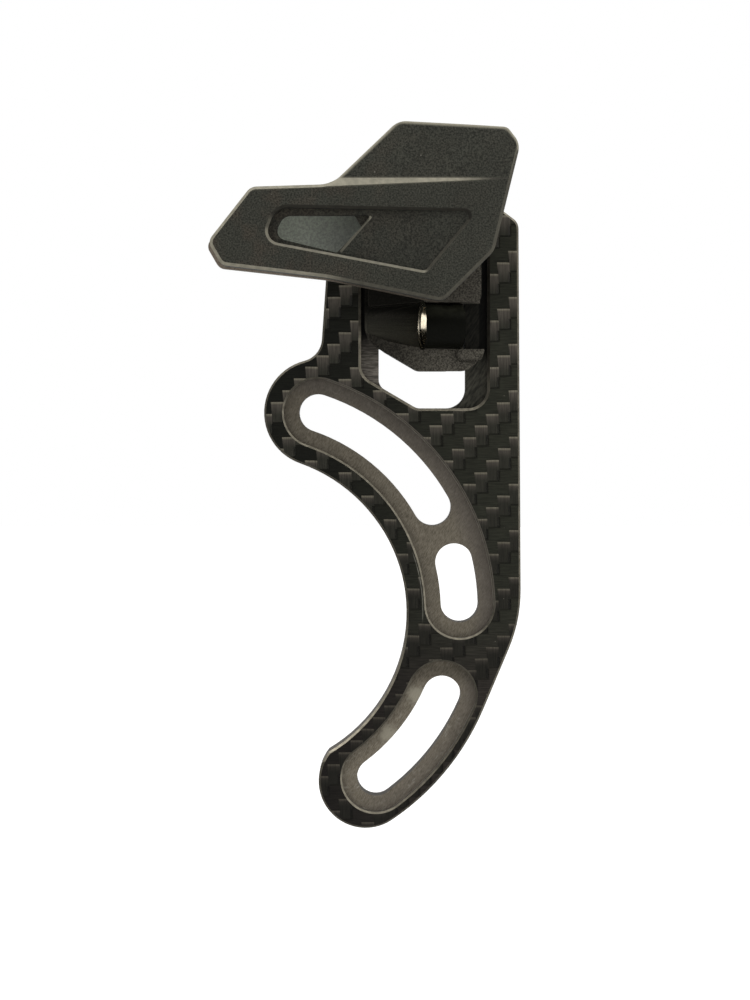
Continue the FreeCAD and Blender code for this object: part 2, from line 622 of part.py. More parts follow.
def make_slider():
    bed = LEDGE_Y - SLIDE_FIT
    back = RECESS_Y + SLIDE_FIT
    lower_y = FRONT_Y - LOWER_PROUD
    block_y = FRONT_Y - BLOCK_PROUD
    channel_z0 = BARREL_Z - CHANNEL_R
    channel_z1 = BARREL_Z + CHANNEL_R
    flange_x0 = POCKET_X0 + REAR_GAP
    flange_x1 = POCKET_X1 - FRONT_GAP

    flange = slab(pocket_corners(flange_x0, flange_x1, FOOT_LIFT, SLIDER_TOP, FLANGE_R), bed, lower_y)
    head = barrel_point(BARREL_X0)
    axis = (head - barrel_point(BARREL_X1)).normalize()
    groove_end = head + axis * (RING_T + RING_FIT)
    x0 = flange_x0 + BLOCK_INSET
    block = slab([
        (x0, BARREL_Z + SCOOP_R, 0.5 * BLOCK_R),
        (groove_end.x, channel_z1, 0),
        (flange_x1, channel_z1, BLOCK_R),
        (flange_x1, SLIDER_TOP, POCKET_TOP_R),
        (x0, SLIDER_TOP, POCKET_TOP_R),
    ], bed, block_y)
    inner = pocket_corners(TONGUE_X0, TONGUE_X1, FOOT_LIFT, SLIDER_TOP - LEDGE_TOP, TONGUE_R)
    tongue = slab(inner, back, bed - SLIDE_FIT)

    slider = flange.fuse([block, tongue])

    # Notch that leaves the ledge open beside the plain end of the barrel
    slider = slider.cut(box(BARREL_X1, POCKET_X1, -FAR, bed, channel_z0, channel_z1))

    # Channel of the barrel, groove of its ring, and the scoop that the key passes through
    slider = slider.cut(open_channel(CHANNEL_R, groove_end, barrel_point(POCKET_X1)))
    slider = slider.cut(open_channel(RING_R + RING_FIT, groove_end, head - axis * RING_FIT))
    mouth = barrel_point(flange_x0 + SCOOP_RIM)
    scoop_l = (mouth - head).Length
    slider = slider.cut(Part.makeCone(CHANNEL_R, SCOOP_R, scoop_l, head, axis))

    # Pointer on the lower half, in a groove of its own shape
    pointer_z = channel_z0 - 0.5 * POINTER_W
    sink = lower_y + POINTER_SINK
    tip = POCKET_X1 - POINTER_GAP
    slider = slider.cut(pointer(tip, pointer_z, POINTER_GROOVE, lower_y - 1, sink))
    slider = slider.fuse(pointer(tip, pointer_z, 0, lower_y - POINTER_H, sink + POINTER_SINK))

    # Passage of the cage's rail
    passage = [
        (RAIL_X0 - SLIDE_FIT, RAIL_Z0 - SLIDE_FIT, RAIL_R),
        (RAIL_X1 + SLIDE_FIT, RAIL_Z0 - SLIDE_FIT, RAIL_R),
        (RAIL_X1 + SLIDE_FIT, RAIL_Z1 + SLIDE_FIT, RAIL_R),
        (RAIL_X0 - SLIDE_FIT, RAIL_Z1 + SLIDE_FIT, RAIL_R),
    ]
    slider = slider.cut(slab(passage, 1.0, -FAR))
    for x, z in keeper_screw_places():
        hole = rod(KSCREW_R, vec(x, back + 1, z), vec(x, back + KEEPER_T - KSCREW_L, z))
        slider = slider.cut(hole)
    return slider


# Chain cage
def on_cage(corners, longer=0.0, rise=0.0):
    """Corners given from the rail's lower rear corner; the rear and lower ones can be moved."""
    placed = []
    for x, z, radius in corners:
        rear = longer if x < RIDGE_START[0] else 0.0
        lift = rise if z < 0.5 * ROOF_UNDER else 0.0
        placed.append((RAIL_X0 + x - rear, RAIL_Z0 + z + lift, radius))
    return placed


def cage_screw_places():
    return [(RAIL_X0 + x, RAIL_Z0 + CSCREW_Z) for x in CSCREW_X]


def make_outer_wall():
    wall = slab(on_cage(CAGE_CORNERS), OUTER_Y, OUTER_BACK_Y)
    wall = wall.makeChamfer(WALL_CHAMFER, edges_at(wall, OUTER_Y, -3 * FAR, 3 * FAR, -3 * FAR, 3 * FAR))

    # Ridge: the flange above it is set back by a wedge that runs out towards the front end
    sections = []
    above = RAIL_Z0 + 2 * ROOF_UNDER
    for place, depth, bevel in (
        (RIDGE_START, RIDGE_DEPTH, RIDGE_BEVEL),
        (RIDGE_END, RIDGE_RUNOUT, RIDGE_RUNOUT),
    ):
        x = RAIL_X0 + place[0]
        z = RAIL_Z0 + place[1]
        sections.append(Part.makePolygon([
            vec(x, OUTER_Y - WALL_CHAMFER, z),
            vec(x, OUTER_Y, z),
            vec(x + RIDGE_LEAN * bevel, OUTER_Y + depth, z + bevel),
            vec(x + RIDGE_LEAN * (above - z), OUTER_Y + depth, above),
            vec(x + RIDGE_LEAN * (above - z), OUTER_Y - WALL_CHAMFER, above),
            vec(x, OUTER_Y - WALL_CHAMFER, z),
        ]))
    wall = wall.cut(Part.makeLoft(sections, True, True))

    # Recess whose floor rises from the window towards the front end
    outline = rounded_wire(on_cage(RECESS_CORNERS), OUTER_Y - 1.0)
    floor = [(-FAR, PANEL_DEPTH_REAR), (RAIL_X0 + PANEL_X0, PANEL_DEPTH_REAR)]
    floor.append((RAIL_X0 + PANEL_X1, PANEL_DEPTH_FRONT))
    floor.append((3 * FAR, PANEL_DEPTH_FRONT))
    profile = [vec(x, OUTER_Y + depth, 0) for (x, depth) in floor]
    profile.append(vec(3 * FAR, OUTER_Y - FAR, 0))
    profile.append(vec(-FAR, OUTER_Y - FAR, 0))
    profile.append(profile[0])
    above_floor = Part.Face(Part.makePolygon(profile)).extrude(vec(0, 0, 4 * FAR))
    wall = wall.cut(prism(outline, OUTER_T + 0.5).common(above_floor))
    foot = rounded_wire(on_cage(RECESS_CORNERS), OUTER_Y + RECESS_CHAMFER)
    brim = foot.makeOffset2D(RECESS_CHAMFER)
    brim.translate(vec(0, -RECESS_CHAMFER, 0))
    wall = wall.cut(Part.makeLoft([foot, brim], True, True))

    # Window at the rear end of the recess, with a thin web in its upper front corner
    window = on_cage(WINDOW_CORNERS)
    lower, upper = window[2:]
    panel_edge = vec(upper[0] - lower[0], 0, upper[1] - lower[1]).normalize()
    web = [
        (upper[0] - panel_edge.x * WEB_ALONG, upper[1] - panel_edge.z * WEB_ALONG, WEB_R),
        (upper[0] - WEB_BACK, upper[1], WEB_R),
    ]
    wall = wall.cut(slab(window, OUTER_Y - 1, OUTER_Y + WEB_DEPTH))
    wall = wall.cut(slab(window[:3] + web, OUTER_Y, OUTER_BACK_Y + 1))

    # Broken edge from the panel into the window
    across = vec(panel_edge.z, 0, -panel_edge.x)
    foot = vec(lower[0], OUTER_Y + PANEL_DEPTH_REAR + WINDOW_CHAMFER, lower[1])
    wedge = Part.makePolygon([
        foot,
        foot + across * WINDOW_CHAMFER - vec(0, WINDOW_CHAMFER, 0),
        foot - vec(0, WINDOW_CHAMFER, 0),
        foot,
    ])
    reach = math.hypot(upper[0] - lower[0], upper[1] - lower[1])
    wall = wall.cut(Part.Face(wedge).extrude(panel_edge * reach))
    for x, z in cage_screw_places():
        wall = wall.cut(rod(INSERT_R, vec(x, OUTER_BACK_Y + 1, z), vec(x, OUTER_BACK_Y - INSERT_L, z)))
    return wall


def make_inner_wall():
    wall = slab(on_cage(CAGE_CORNERS, INNER_LONGER, INNER_RISE), INNER_FRONT_Y, INNER_Y)
    rim = edges_at(wall, INNER_FRONT_Y, -3 * FAR, 3 * FAR, -3 * FAR, 3 * FAR)
    wall = wall.makeChamfer(INNER_CHAMFER, rim)
    rail = slab([
        (RAIL_X0, RAIL_Z0, RAIL_R),
        (RAIL_X1, RAIL_Z0, RAIL_R),
        (RAIL_X1, RAIL_Z1, RAIL_R),
        (RAIL_X0, RAIL_Z1, RAIL_R),
    ], INNER_Y - 0.5 * INNER_T, RAIL_END_Y)
    wall = wall.fuse(rail)
    for x, z in cage_screw_places():
        face = vec(x, INNER_Y, z)
        sink = countersink(face, vec(0, -1, 0), CSCREW_R, CSCREW_HEAD_R, INNER_T + 1, HOLE_GAP)
        wall = wall.cut(sink)
    return wall


def make_roof():
    """Spacer over the chain: it follows the upper corners of the walls from inside."""
    front, top, rear = CAGE_CORNERS[2], CAGE_CORNERS[3], CAGE_CORNERS[4]
    front_x = front[0] - ROOF_INSET
    corners = [
        (ROOF_REAR, ROOF_UNDER, ROOF_R),
        (front_x - ROOF_INSET, ROOF_UNDER, ROOF_R),
        (front_x, front[1], front[2]),
        (top[0] - 0.5 * ROOF_INSET, top[1] - ROOF_INSET, top[2]),
        (rear[0] + 0.4 * ROOF_INSET, rear[1] - ROOF_INSET, rear[2]),
    ]
    roof = slab([(RAIL_X0 + x, RAIL_Z0 + z, r) for (x, z, r) in corners], INNER_FRONT_Y, OUTER_BACK_Y)
    for x, z in cage_screw_places():
        roof = roof.cut(rod(CSCREW_R + HOLE_GAP, vec(x, INNER_Y, z), vec(x, OUTER_Y, z)))
    return roof


def make_cage_screws():
    length = INNER_T + CHANNEL_W + INSERT_L
    screws = []
    for x, z in cage_screw_places():
        face = vec(x, INNER_Y, z)
        screws.append(countersunk(face, vec(0, -1, 0), CSCREW_R, CSCREW_HEAD_R, length, CSCREW_AF))
    return Part.makeCompound(screws)


def make_inserts():
    inserts = []
    for x, z in cage_screw_places():
        back = vec(x, OUTER_BACK_Y, z)
        end = vec(x, OUTER_BACK_Y - INSERT_L, z)
        body = rod(INSERT_R, back, end)
        inserts.append(body.cut(rod(CSCREW_R, back + vec(0, 1, 0), end - vec(0, 1, 0))))
    return Part.makeCompound(inserts)


PIECES = {
    "backplate": make_backplate,
    "slider": make_slider,
    "keeper_plate": make_keeper,
    "keeper_screws": make_keeper_screws,
    "lock_barrel": make_barrel,
    "barrel_ring": make_ring,
    "cage_inner": make_inner_wall,
    "cage_roof": make_roof,
    "cage_outer": make_outer_wall,
    "cage_screws": make_cage_screws,
    "cage_inserts": make_inserts,
}

os.makedirs("parts", exist_ok=True)
for name, make in PIECES.items():
    shape = make()
    shape.exportStep("parts/" + name + ".step")
    print(name, "valid", shape.isValid(), "solids", len(shape.Solids), "mm3", round(shape.Volume, 1))
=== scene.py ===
# %% [markdown]
# # A bicycle chain guide, dressed for its picture
# The guide keeps the chain on the chainring of a bicycle with a single ring. A carbon plate is
# bolted to three tabs of the frame, a moulded slider sets the height, and a two-wall cage runs
# round the chain. The engineering model is the fixed frame here: it gives every piece its place
# and its motion. This lesson adds what the eye looks for, which is weave, grain, machining
# marks, soft edges and light. All lengths are in metres, and the materials think in millimetres.

# %% Load the engineering model
import bpy
import bmesh
import math
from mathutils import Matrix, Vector


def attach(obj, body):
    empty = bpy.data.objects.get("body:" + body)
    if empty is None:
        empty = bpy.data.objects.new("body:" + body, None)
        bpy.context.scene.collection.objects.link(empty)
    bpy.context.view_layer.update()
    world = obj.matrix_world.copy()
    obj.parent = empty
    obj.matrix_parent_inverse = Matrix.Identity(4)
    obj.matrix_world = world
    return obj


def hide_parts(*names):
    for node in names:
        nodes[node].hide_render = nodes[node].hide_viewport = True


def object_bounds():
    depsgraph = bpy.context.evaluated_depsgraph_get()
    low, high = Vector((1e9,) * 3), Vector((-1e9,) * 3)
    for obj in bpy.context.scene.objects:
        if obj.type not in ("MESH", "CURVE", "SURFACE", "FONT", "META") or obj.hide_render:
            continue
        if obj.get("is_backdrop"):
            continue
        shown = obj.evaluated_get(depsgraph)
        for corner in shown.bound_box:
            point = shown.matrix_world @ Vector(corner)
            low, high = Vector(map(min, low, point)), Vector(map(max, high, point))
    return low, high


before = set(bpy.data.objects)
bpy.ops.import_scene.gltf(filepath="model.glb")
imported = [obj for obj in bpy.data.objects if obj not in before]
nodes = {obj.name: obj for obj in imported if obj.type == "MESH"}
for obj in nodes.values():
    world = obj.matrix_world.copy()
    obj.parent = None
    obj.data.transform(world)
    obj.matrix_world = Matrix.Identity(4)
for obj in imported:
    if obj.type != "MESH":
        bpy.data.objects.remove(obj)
cad_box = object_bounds()
MM = 0.001
print("pieces of the guide:", sorted(nodes))
print("box in mm:", [[round(v / MM, 2) for v in corner] for corner in cad_box])

# %% [markdown]
# ## Small tools for node trees
# A shader is a tree of nodes, and most of it is arithmetic. Placing each node by name is long
# and hides the formula. So a socket is wrapped in a small class here, on which the usual signs
# + - * / make the maths nodes. A mask then reads as it would on paper. A node group with named
# sockets is the right home for an effect that several materials share, because it is built once
# and then placed with different values.

# %% Fields: sockets that plain arithmetic works on
class Field:
    """Value that varies over a surface: a socket on which + - * / make maths nodes."""

    def __init__(self, socket):
        self.socket = socket
        self.tree = socket.id_data

    def __add__(self, other):
        return maths("ADD", self, other)

    def __sub__(self, other):
        return maths("SUBTRACT", self, other)

    def __rsub__(self, other):
        return maths("SUBTRACT", other, self)

    def __mul__(self, other):
        return maths("MULTIPLY", self, other)

    def __truediv__(self, other):
        return maths("DIVIDE", self, other)

    def __rtruediv__(self, other):
        return maths("DIVIDE", other, self)

    def __abs__(self):
        return maths("ABSOLUTE", self)


def put(socket, value):
    """Connects a field to a socket, or writes a number or colour to it."""
    if isinstance(value, Field):
        value.tree.links.new(value.socket, socket)
        return
    if socket.type == "RGBA" and len(value) == 3:
        value = (*value, 1.0)
    socket.default_value = value


def new_node(tree, kind, inputs=None, **settings):
    """Node of a kind, with its settings, and its inputs given by name or number."""
    made = tree.nodes.new(kind)
    for name, value in settings.items():
        setattr(made, name, value)
    for name, value in (inputs or {}).items():
        put(made.inputs[name], value)
    return made


def make(tree, kind, inputs=None, output=0, **settings):
    """The same, but gives one output of the node as a field."""
    return Field(new_node(tree, kind, inputs, **settings).outputs[output])


def home(*values):
    """Node tree that the first field among the values lives in."""
    return next(value.tree for value in values if isinstance(value, Field))


print("a field knows its tree, and + - * / build the nodes")

# %% Numbers: maths, ramps and bands
def maths(operation, *values):
    return make(home(*values), "ShaderNodeMath", dict(enumerate(values)), operation=operation)


def maximum(first, *others):
    for value in others:
        first = maths("MAXIMUM", first, value)
    return first


def ramp(value, low, high, start=0.0, end=1.0):
    """Value carried smoothly from start at low to end at high."""
    inputs = {"Value": value, "From Min": low, "From Max": high, "To Min": start, "To Max": end}
    return make(value.tree, "ShaderNodeMapRange", inputs, "Result", interpolation_type="SMOOTHSTEP")


def fade(value, low, high):
    """1 below low and 0 above high."""
    return ramp(value, low, high, 1.0, 0.0)


def band(value, low, high, edge):
    """1 between low and high, with soft edges."""
    return ramp(value, low - edge, low + edge) * fade(value, high - edge, high + edge)


print("ramp, fade and band make the masks")

# %% Vectors, colours and noise
def join(x, y, z):
    return make(home(x, y, z), "ShaderNodeCombineXYZ", {0: x, 1: y, 2: z})


def split(vector):
    """The three coordinates of a vector."""
    return [Field(socket) for socket in new_node(vector.tree, "ShaderNodeSeparateXYZ", {0: vector}).outputs]


def mix(share, first, second):
    """First colour where the share is 0, second where it is 1."""
    inputs = {"Factor": share, "A": first, "B": second}
    return make(share.tree, "ShaderNodeMix", inputs, "Result", data_type="RGBA")


def scaled(colour, factor):
    """Colour times a number."""
    return make(home(colour, factor), "ShaderNodeVectorMath", {0: colour, "Scale": factor}, operation="SCALE")


def noise(place, scale, detail=2.0, rough=0.5):
    inputs = {"Vector": place, "Scale": scale, "Detail": detail, "Roughness": rough}
    return make(place.tree, "ShaderNodeTexNoise", inputs, "Fac")


print("colours are mixed and scaled as fields too")

# %% Groups and materials
def shader_group(name, inputs, outputs):
    """Empty node group. Each input has its number, or None if it is a vector."""
    group = bpy.data.node_groups.new(name, "ShaderNodeTree")
    for label, value in inputs.items():
        kind = "NodeSocketVector" if value is None else "NodeSocketFloat"
        socket = group.interface.new_socket(name=label, in_out="INPUT", socket_type=kind)
        if value is not None:
            socket.default_value = value
    for label in outputs:
        group.interface.new_socket(name=label, in_out="OUTPUT", socket_type="NodeSocketFloat")
    given = {socket.name: Field(socket) for socket in new_node(group, "NodeGroupInput").outputs}
    print("group", name, "takes", list(inputs), "and gives", outputs)
    return group, given, new_node(group, "NodeGroupOutput").inputs


def place_group(group, **values):
    """Outputs of a node that uses the group; names of inputs are written with _ for spaces."""
    inputs = {name.replace("_", " "): value for name, value in values.items()}
    made = new_node(home(*values.values()), "ShaderNodeGroup", inputs, node_tree=group)
    return {socket.name: Field(socket) for socket in made.outputs}


def new_material(name):
    """Material with a Principled shader, the place on the piece in millimetres, and its normal."""
    material = bpy.data.materials.new(name)
    material.use_nodes = True
    coordinates = new_node(material.node_tree, "ShaderNodeTexCoord").outputs
    place = scaled(Field(coordinates["Object"]), 1.0 / MM)
    return material, material.node_tree.nodes["Principled BSDF"], place, Field(coordinates["Normal"])


def relief(shader, height, distance, strength):
    """Height in millimetres, as bump on the shader."""
    inputs = {"Height": height, "Distance": distance, "Strength": strength}
    put(shader.inputs["Normal"], make(height.tree, "ShaderNodeBump", inputs))


def give(node_name, material):
    """The node's own mesh gets the material in place of its plain one."""
    slots = nodes[node_name].data.materials
    slots.clear()
    slots.append(material)


print("helpers for node trees are ready")

# %% [markdown]
# ## The camera
# The picture was taken squarely from the outboard side, from rather near: the cage stands 25 mm
# in front of the plate and looks larger than it is. A lens near 63 mm at 300 mm from the plate
# gives that same enlargement. The optical axis meets the plate a little above the middle of the
# picture, which the small vertical shift puts right.

# %% Camera at the photograph's place
camera_data = bpy.data.cameras.new("camera")
camera_data.lens = 62.7
camera_data.sensor_width = 36.0
camera_data.shift_y = -0.07
camera = bpy.data.objects.new("camera", camera_data)
camera.location = (0.021357, -0.304, 0.03114)
camera.rotation_euler = (math.radians(90), 0.0, 0.0)
bpy.context.scene.collection.objects.link(camera)
bpy.context.scene.camera = camera
print("camera looks along +Y from", tuple(round(v, 4) for v in camera.location))

# %% [markdown]
# ## The studio
# A small dark object on white is lit in a light tent: soft light from everywhere, more of it
# from above, so that bevels that face up are bright and faces that look at the camera stay dark.
# The world carries the even part and three large lamps the rest. The white of the background
# isn't light on the object: the world and the floor only show white to the rays that look at
# them, straight or in a reflection.

# %% World: even light for the object, white for the rays that look
WHITE = (1.0, 1.0, 1.0)
EVEN_LIGHT = 0.45


def rays_that_look(tree):
    """1 for camera, glossy and transmission rays, 0 for the rays that carry soft light."""
    path = new_node(tree, "ShaderNodeLightPath").outputs
    return maximum(*[Field(path["Is %s Ray" % kind]) for kind in ("Camera", "Glossy", "Transmission")])


world = bpy.data.worlds.new("light tent")
world.use_nodes = True
tree = world.node_tree
tree.nodes.clear()
even_light = make(tree, "ShaderNodeBackground", {"Color": (1.0, 0.985, 0.96), "Strength": EVEN_LIGHT})
white_paper = make(tree, "ShaderNodeBackground", {"Color": WHITE, "Strength": 1.0})
chosen = make(tree, "ShaderNodeMixShader", {0: rays_that_look(tree), 1: even_light, 2: white_paper})
new_node(tree, "ShaderNodeOutputWorld", {"Surface": chosen})
bpy.context.scene.world = world
bpy.context.scene.view_settings.view_transform = "Standard"
print("even light of strength", EVEN_LIGHT)

# %% Floor of white paper
FLOOR_Z = -0.075
FLOOR_REACH = 1.6
GLOW_NEAR = 0.50   # white that the paper adds close to the guide
GLOW_FAR = 0.85    # and far away, where the lamps no longer reach
floor_mesh = bpy.data.meshes.new("floor")
corners = [(sx * FLOOR_REACH, sy * FLOOR_REACH, FLOOR_Z) for sx, sy in ((-1, -1), (1, -1), (1, 1), (-1, 1))]
floor_mesh.from_pydata(corners, [], [(0, 1, 2, 3)])
floor = bpy.data.objects.new("floor", floor_mesh)
bpy.context.scene.collection.objects.link(floor)
paper = bpy.data.materials.new("paper floor")
paper.use_nodes = True
tree = paper.node_tree
tree.nodes.clear()
on_paper = make(tree, "ShaderNodeTexCoord", output="Object")
how_far = make(tree, "ShaderNodeVectorMath", {0: on_paper}, "Value", operation="LENGTH")
strength = rays_that_look(tree) * ramp(how_far, 0.15, 0.9, GLOW_NEAR, GLOW_FAR)
matte = make(tree, "ShaderNodeBsdfDiffuse", {"Color": (0.8, 0.8, 0.8)})
glow = make(tree, "ShaderNodeEmission", {"Color": WHITE, "Strength": strength})
both = make(tree, "ShaderNodeAddShader", {0: matte, 1: glow})
new_node(tree, "ShaderNodeOutputMaterial", {"Surface": both})
floor_mesh.materials.append(paper)
floor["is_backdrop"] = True
print("floor at", FLOOR_Z, "m")

# %% Three soft lamps
GUIDE_MIDDLE = (0.02, -0.01, 0.03)


def softbox(name, place, width, height, watts):
    """Rectangular lamp at place that looks at the guide."""
    lamp_data = bpy.data.lights.new(name, "AREA")
    lamp_data.shape = "RECTANGLE"
    lamp_data.size = width
    lamp_data.size_y = height
    lamp_data.energy = watts
    lamp = bpy.data.objects.new(name, lamp_data)
    lamp.location = place
    aim = Vector(GUIDE_MIDDLE) - Vector(place)
    lamp.rotation_euler = aim.to_track_quat("-Z", "Y").to_euler()
    bpy.context.scene.collection.objects.link(lamp)
    print(name, "of", watts, "W")


softbox("roof light", (0.02, -0.10, 0.50), 0.60, 0.45, 2.3)
softbox("left light", (-0.45, -0.30, 0.20), 0.35, 0.50, 0.6)
softbox("right light", (0.50, -0.20, 0.15), 0.35, 0.50, 1.0)

# %% [markdown]
# ## Effects that several finishes share
# Five effects come back on this object. *Painted rim light* finds the broken edges by the way they face, and
# paints them paler where they face the lamps: a painted highlight. *Edge wear* finds corners by comparing the
# true normal with one that is rounded over a small radius; on the nylon it is partly wear and partly a
# painted edge highlight. *Moulded grain* is the fine spark-eroded texture of the mould. *Dust* is a scatter
# of small pale specks. *Tool marks* are fine lines along a direction, from a cutter or from fibres.

# %% Painted rim light
painted_rim_light, given, result = shader_group("painted rim light", {"Normal": None, "Least": 0.3}, ["Mask", "Painted light"])
rim_x, rim_y, rim_z = split(given["Normal"])
put(result["Mask"], band(abs(rim_y), 0.40, 0.91, 0.05))
# Painted highlight: rims that face up and along +X are paler, as if lit
put(result["Painted light"], ramp(rim_x * 0.6 + rim_z, -0.15, 0.6, given["Least"], 1.0))

# %% Edge wear
edge_wear, given, result = shader_group(
    "edge wear", {"Radius": 0.0004, "Softness": 0.5, "Vector": None}, ["Mask"])
rounded = make(edge_wear, "ShaderNodeBevel", {"Radius": given["Radius"]}, samples=6)
true_normal = make(edge_wear, "ShaderNodeNewGeometry", output="Normal")
likeness = make(
    edge_wear, "ShaderNodeVectorMath", {0: rounded, 1: true_normal}, "Value", operation="DOT_PRODUCT")
patchy = noise(given["Vector"], 1.4, 3.0) * 1.2 + 0.35
put(result["Mask"], maths("MINIMUM", (1.0 - likeness) / given["Softness"] * patchy, 1.0))

# %% Moulded grain
moulded_grain, given, result = shader_group(
    "moulded grain", {"Vector": None, "Coarse": 3.0, "Fine": 9.0}, ["Height", "Tint"])
grain = noise(given["Vector"], given["Coarse"]) * 0.6 + noise(given["Vector"], given["Fine"]) * 0.4
put(result["Height"], grain)
put(result["Tint"], ramp(grain, 0.30, 0.70))

# %% Dust specks
SPECK_SMALLEST, SPECK_SPREAD = 0.03, 0.05  # radius in shares of the spacing
dust, given, result = shader_group("dust", {"Vector": None, "Spacing": 1.2, "Share": 0.2}, ["Mask"])
cells = new_node(dust, "ShaderNodeTexVoronoi", {
    "Vector": scaled(given["Vector"], 1.0 / given["Spacing"]), "Scale": 1.0}, feature="F1").outputs
dice = new_node(dust, "ShaderNodeSeparateColor", {0: Field(cells["Color"])}).outputs
has_speck = maths("LESS_THAN", Field(dice[0]), given["Share"])
in_speck = maths("LESS_THAN", Field(cells["Distance"]), Field(dice[1]) * SPECK_SPREAD + SPECK_SMALLEST)
put(result["Mask"], in_speck * has_speck)

# %% Tool marks
tool_marks, given, result = shader_group(
    "tool marks", {"Along": 0.0, "Across": 0.0, "Depth": 0.0, "Fineness": 5.0, "Stretch": 0.06},
    ["Height", "Tint"])
where = join(given["Along"] * given["Stretch"], given["Across"], given["Depth"])
lines = noise(where, given["Fineness"], 3.0)
put(result["Height"], lines)
put(result["Tint"], ramp(lines, 0.3, 0.7))

# %% [markdown]
# ## Carbon twill
# The plate's outer ply is a two-over-two twill: each tow runs over two others and under two, one step higher
# in every next column, which gives the stairs. The tows that run up the plate catch the light, given here as
# a painted sheen, and look like small pale bricks, and the ones across stay dark. An image could hold this,
# but the rule is simple enough to compute: the column number and the row number, taken modulo four, say which
# tow is on top, and the rest of the division says where on it we are.

# %% Twill: the place within a column and a row
TOW_COLUMN = 1.95  # mm from one upright tow to the next
TOW_ROW = 2.01     # mm from one level tow to the next
twill, given, result = shader_group(
    "twill weave", {"X": 0.0, "Z": 0.0, "Start X": -0.505, "Start Z": 4.06},
    ["Upright", "Fall", "Shade", "Height", "Fibre"])
weave_x, weave_z = given["X"], given["Z"]
wander = noise(join(weave_x, weave_z, 0.0), 0.09, 1.0) * 0.5 - 0.25
columns = (weave_x + wander - given["Start X"]) / TOW_COLUMN
rows = (weave_z + wander - given["Start Z"]) / TOW_ROW
column, in_column = maths("FLOOR", columns), maths("FRACT", columns)
row, in_row = maths("FLOOR", rows), maths("FRACT", rows)
up_fibres = noise(join(weave_x, weave_z * 0.05, 0.0), 5.0, 3.0, 0.6)
cross_fibres = noise(join(weave_x * 0.07, weave_z, 0.0), 5.5, 3.0)
print("twill columns of", TOW_COLUMN, "mm and rows of", TOW_ROW, "mm")

# %% Twill: one upright tow, its lean and the painted shade round it
TOW_START, TOW_END = 0.17, 1.86  # lower and upper end of an upright tow, in rows
# The other numbers of this cell are shares of a column, of a row or of the tow's fall


def upright_tow(behind):
    """Masks of the tow of this column, or of the one behind it, which laps over this column."""
    step = maths("FLOORED_MODULO", row - column + behind, 4.0)
    lies_up = maths("LESS_THAN", step, 1.5)
    way = step + in_row
    across = in_column + behind
    # 0 at the upper end of the tow, 1 at its lower end; it leans in on its rear side
    fall = way * (-1.0 / (TOW_END - TOW_START)) + TOW_END / (TOW_END - TOW_START)
    front_side = fall * 0.05 + 1.16
    sides = ramp(across - fall * 0.15, -0.02, 0.05) * ramp(front_side - across, -0.02, 0.04)
    shows = sides * (band(way, TOW_START, TOW_END, 0.03) * lies_up)
    # Soft painted shade under its lower end, beside its front side and over its upper end
    under = band(way, 0.00, TOW_START, 0.09) * (band(across, 0.22, 1.26, 0.06) * lies_up)
    beside = fade(across - front_side, 0.0, 0.16) * (ramp(fall, 0.2, 0.7) * lies_up) * ramp(way, 0.0, 0.1)
    over = band(way, 1.88, 1.99, 0.03) * (lies_up * 0.35) * band(across, 0.0, 1.15, 0.04)
    return shows, fall, maximum(under, beside * 0.5, over), way


own, own_fall, own_shade, own_way = upright_tow(0.0)
lap, lap_fall, lap_shade, lap_way = upright_tow(1.0)
print("two tows can show in a column: its own and the one that laps over it")

# %% Twill: what the weave gives to a material
def arch(share):
    """1 in the middle of a tow and 0 at its sides, for a share from 0 to 1."""
    centred = share * 2.0 - 1.0
    squared = centred * centred
    return 1.0 - squared * squared


upright = maximum(own, lap)
level_share = 1.0 - upright
laps = maths("GREATER_THAN", lap, own)
fall = own_fall * (1.0 - laps) + lap_fall * laps
put(result["Upright"], upright)
put(result["Fall"], fall + (up_fibres * 0.5 - 0.25) * fall)
put(result["Shade"], maximum(own_shade, lap_shade) * level_share)
put(result["Height"], upright * arch(own_way * 0.5) + arch(in_row) * 0.6 * level_share)
put(result["Fibre"], up_fibres * upright + cross_fibres * level_share)

# %% [markdown]
# ## The plate: woven faces, machined pads, cut edges
# A carbon plate is pressed flat and then milled, and it shows both. Its two faces carry the
# weave under resin. The pads round the bolt slots are milled 1.2 mm deep, so they show cut
# fibres: warm grey, with fine marks of the cutter, and scuffs where bolt heads have turned. The
# ledges of the slider's pocket are milled too, and the edges show the stack of plies. One
# material can hold all of this, because the place on the plate says which zone a point is in:
# how deep it lies, which way it faces, and how far it is from the crank axis.

# %% Zones of the carbon plate
FRONT_SKIN = (-3.97, -3.90)   # mm along Y: the front face lies 4 mm out, milled floors are deeper
REAR_SKIN = (-0.10, -0.03)    # and the rear face lies at zero
PADS_END = (42.4, 42.9)       # mm from the crank axis, where pads end and ledges begin
carbon, shader, place, normal = new_material("carbon plate")
x, y, z = split(place)
flat_face = ramp(abs(split(normal)[1]), 0.90, 0.97)
front_skin = fade(y, *FRONT_SKIN)
either_skin = maximum(front_skin, ramp(y, *REAR_SKIN))
skin = either_skin * flat_face
radius = maths("SQRT", x * x + z * z)
direction = maths("ARCTAN2", z, x)
milled = flat_face * (1.0 - either_skin)
on_pads = milled * fade(radius, *PADS_END)
on_ledges = milled * ramp(radius, *PADS_END)
print("zones: skin, pads, ledges and cut edges")
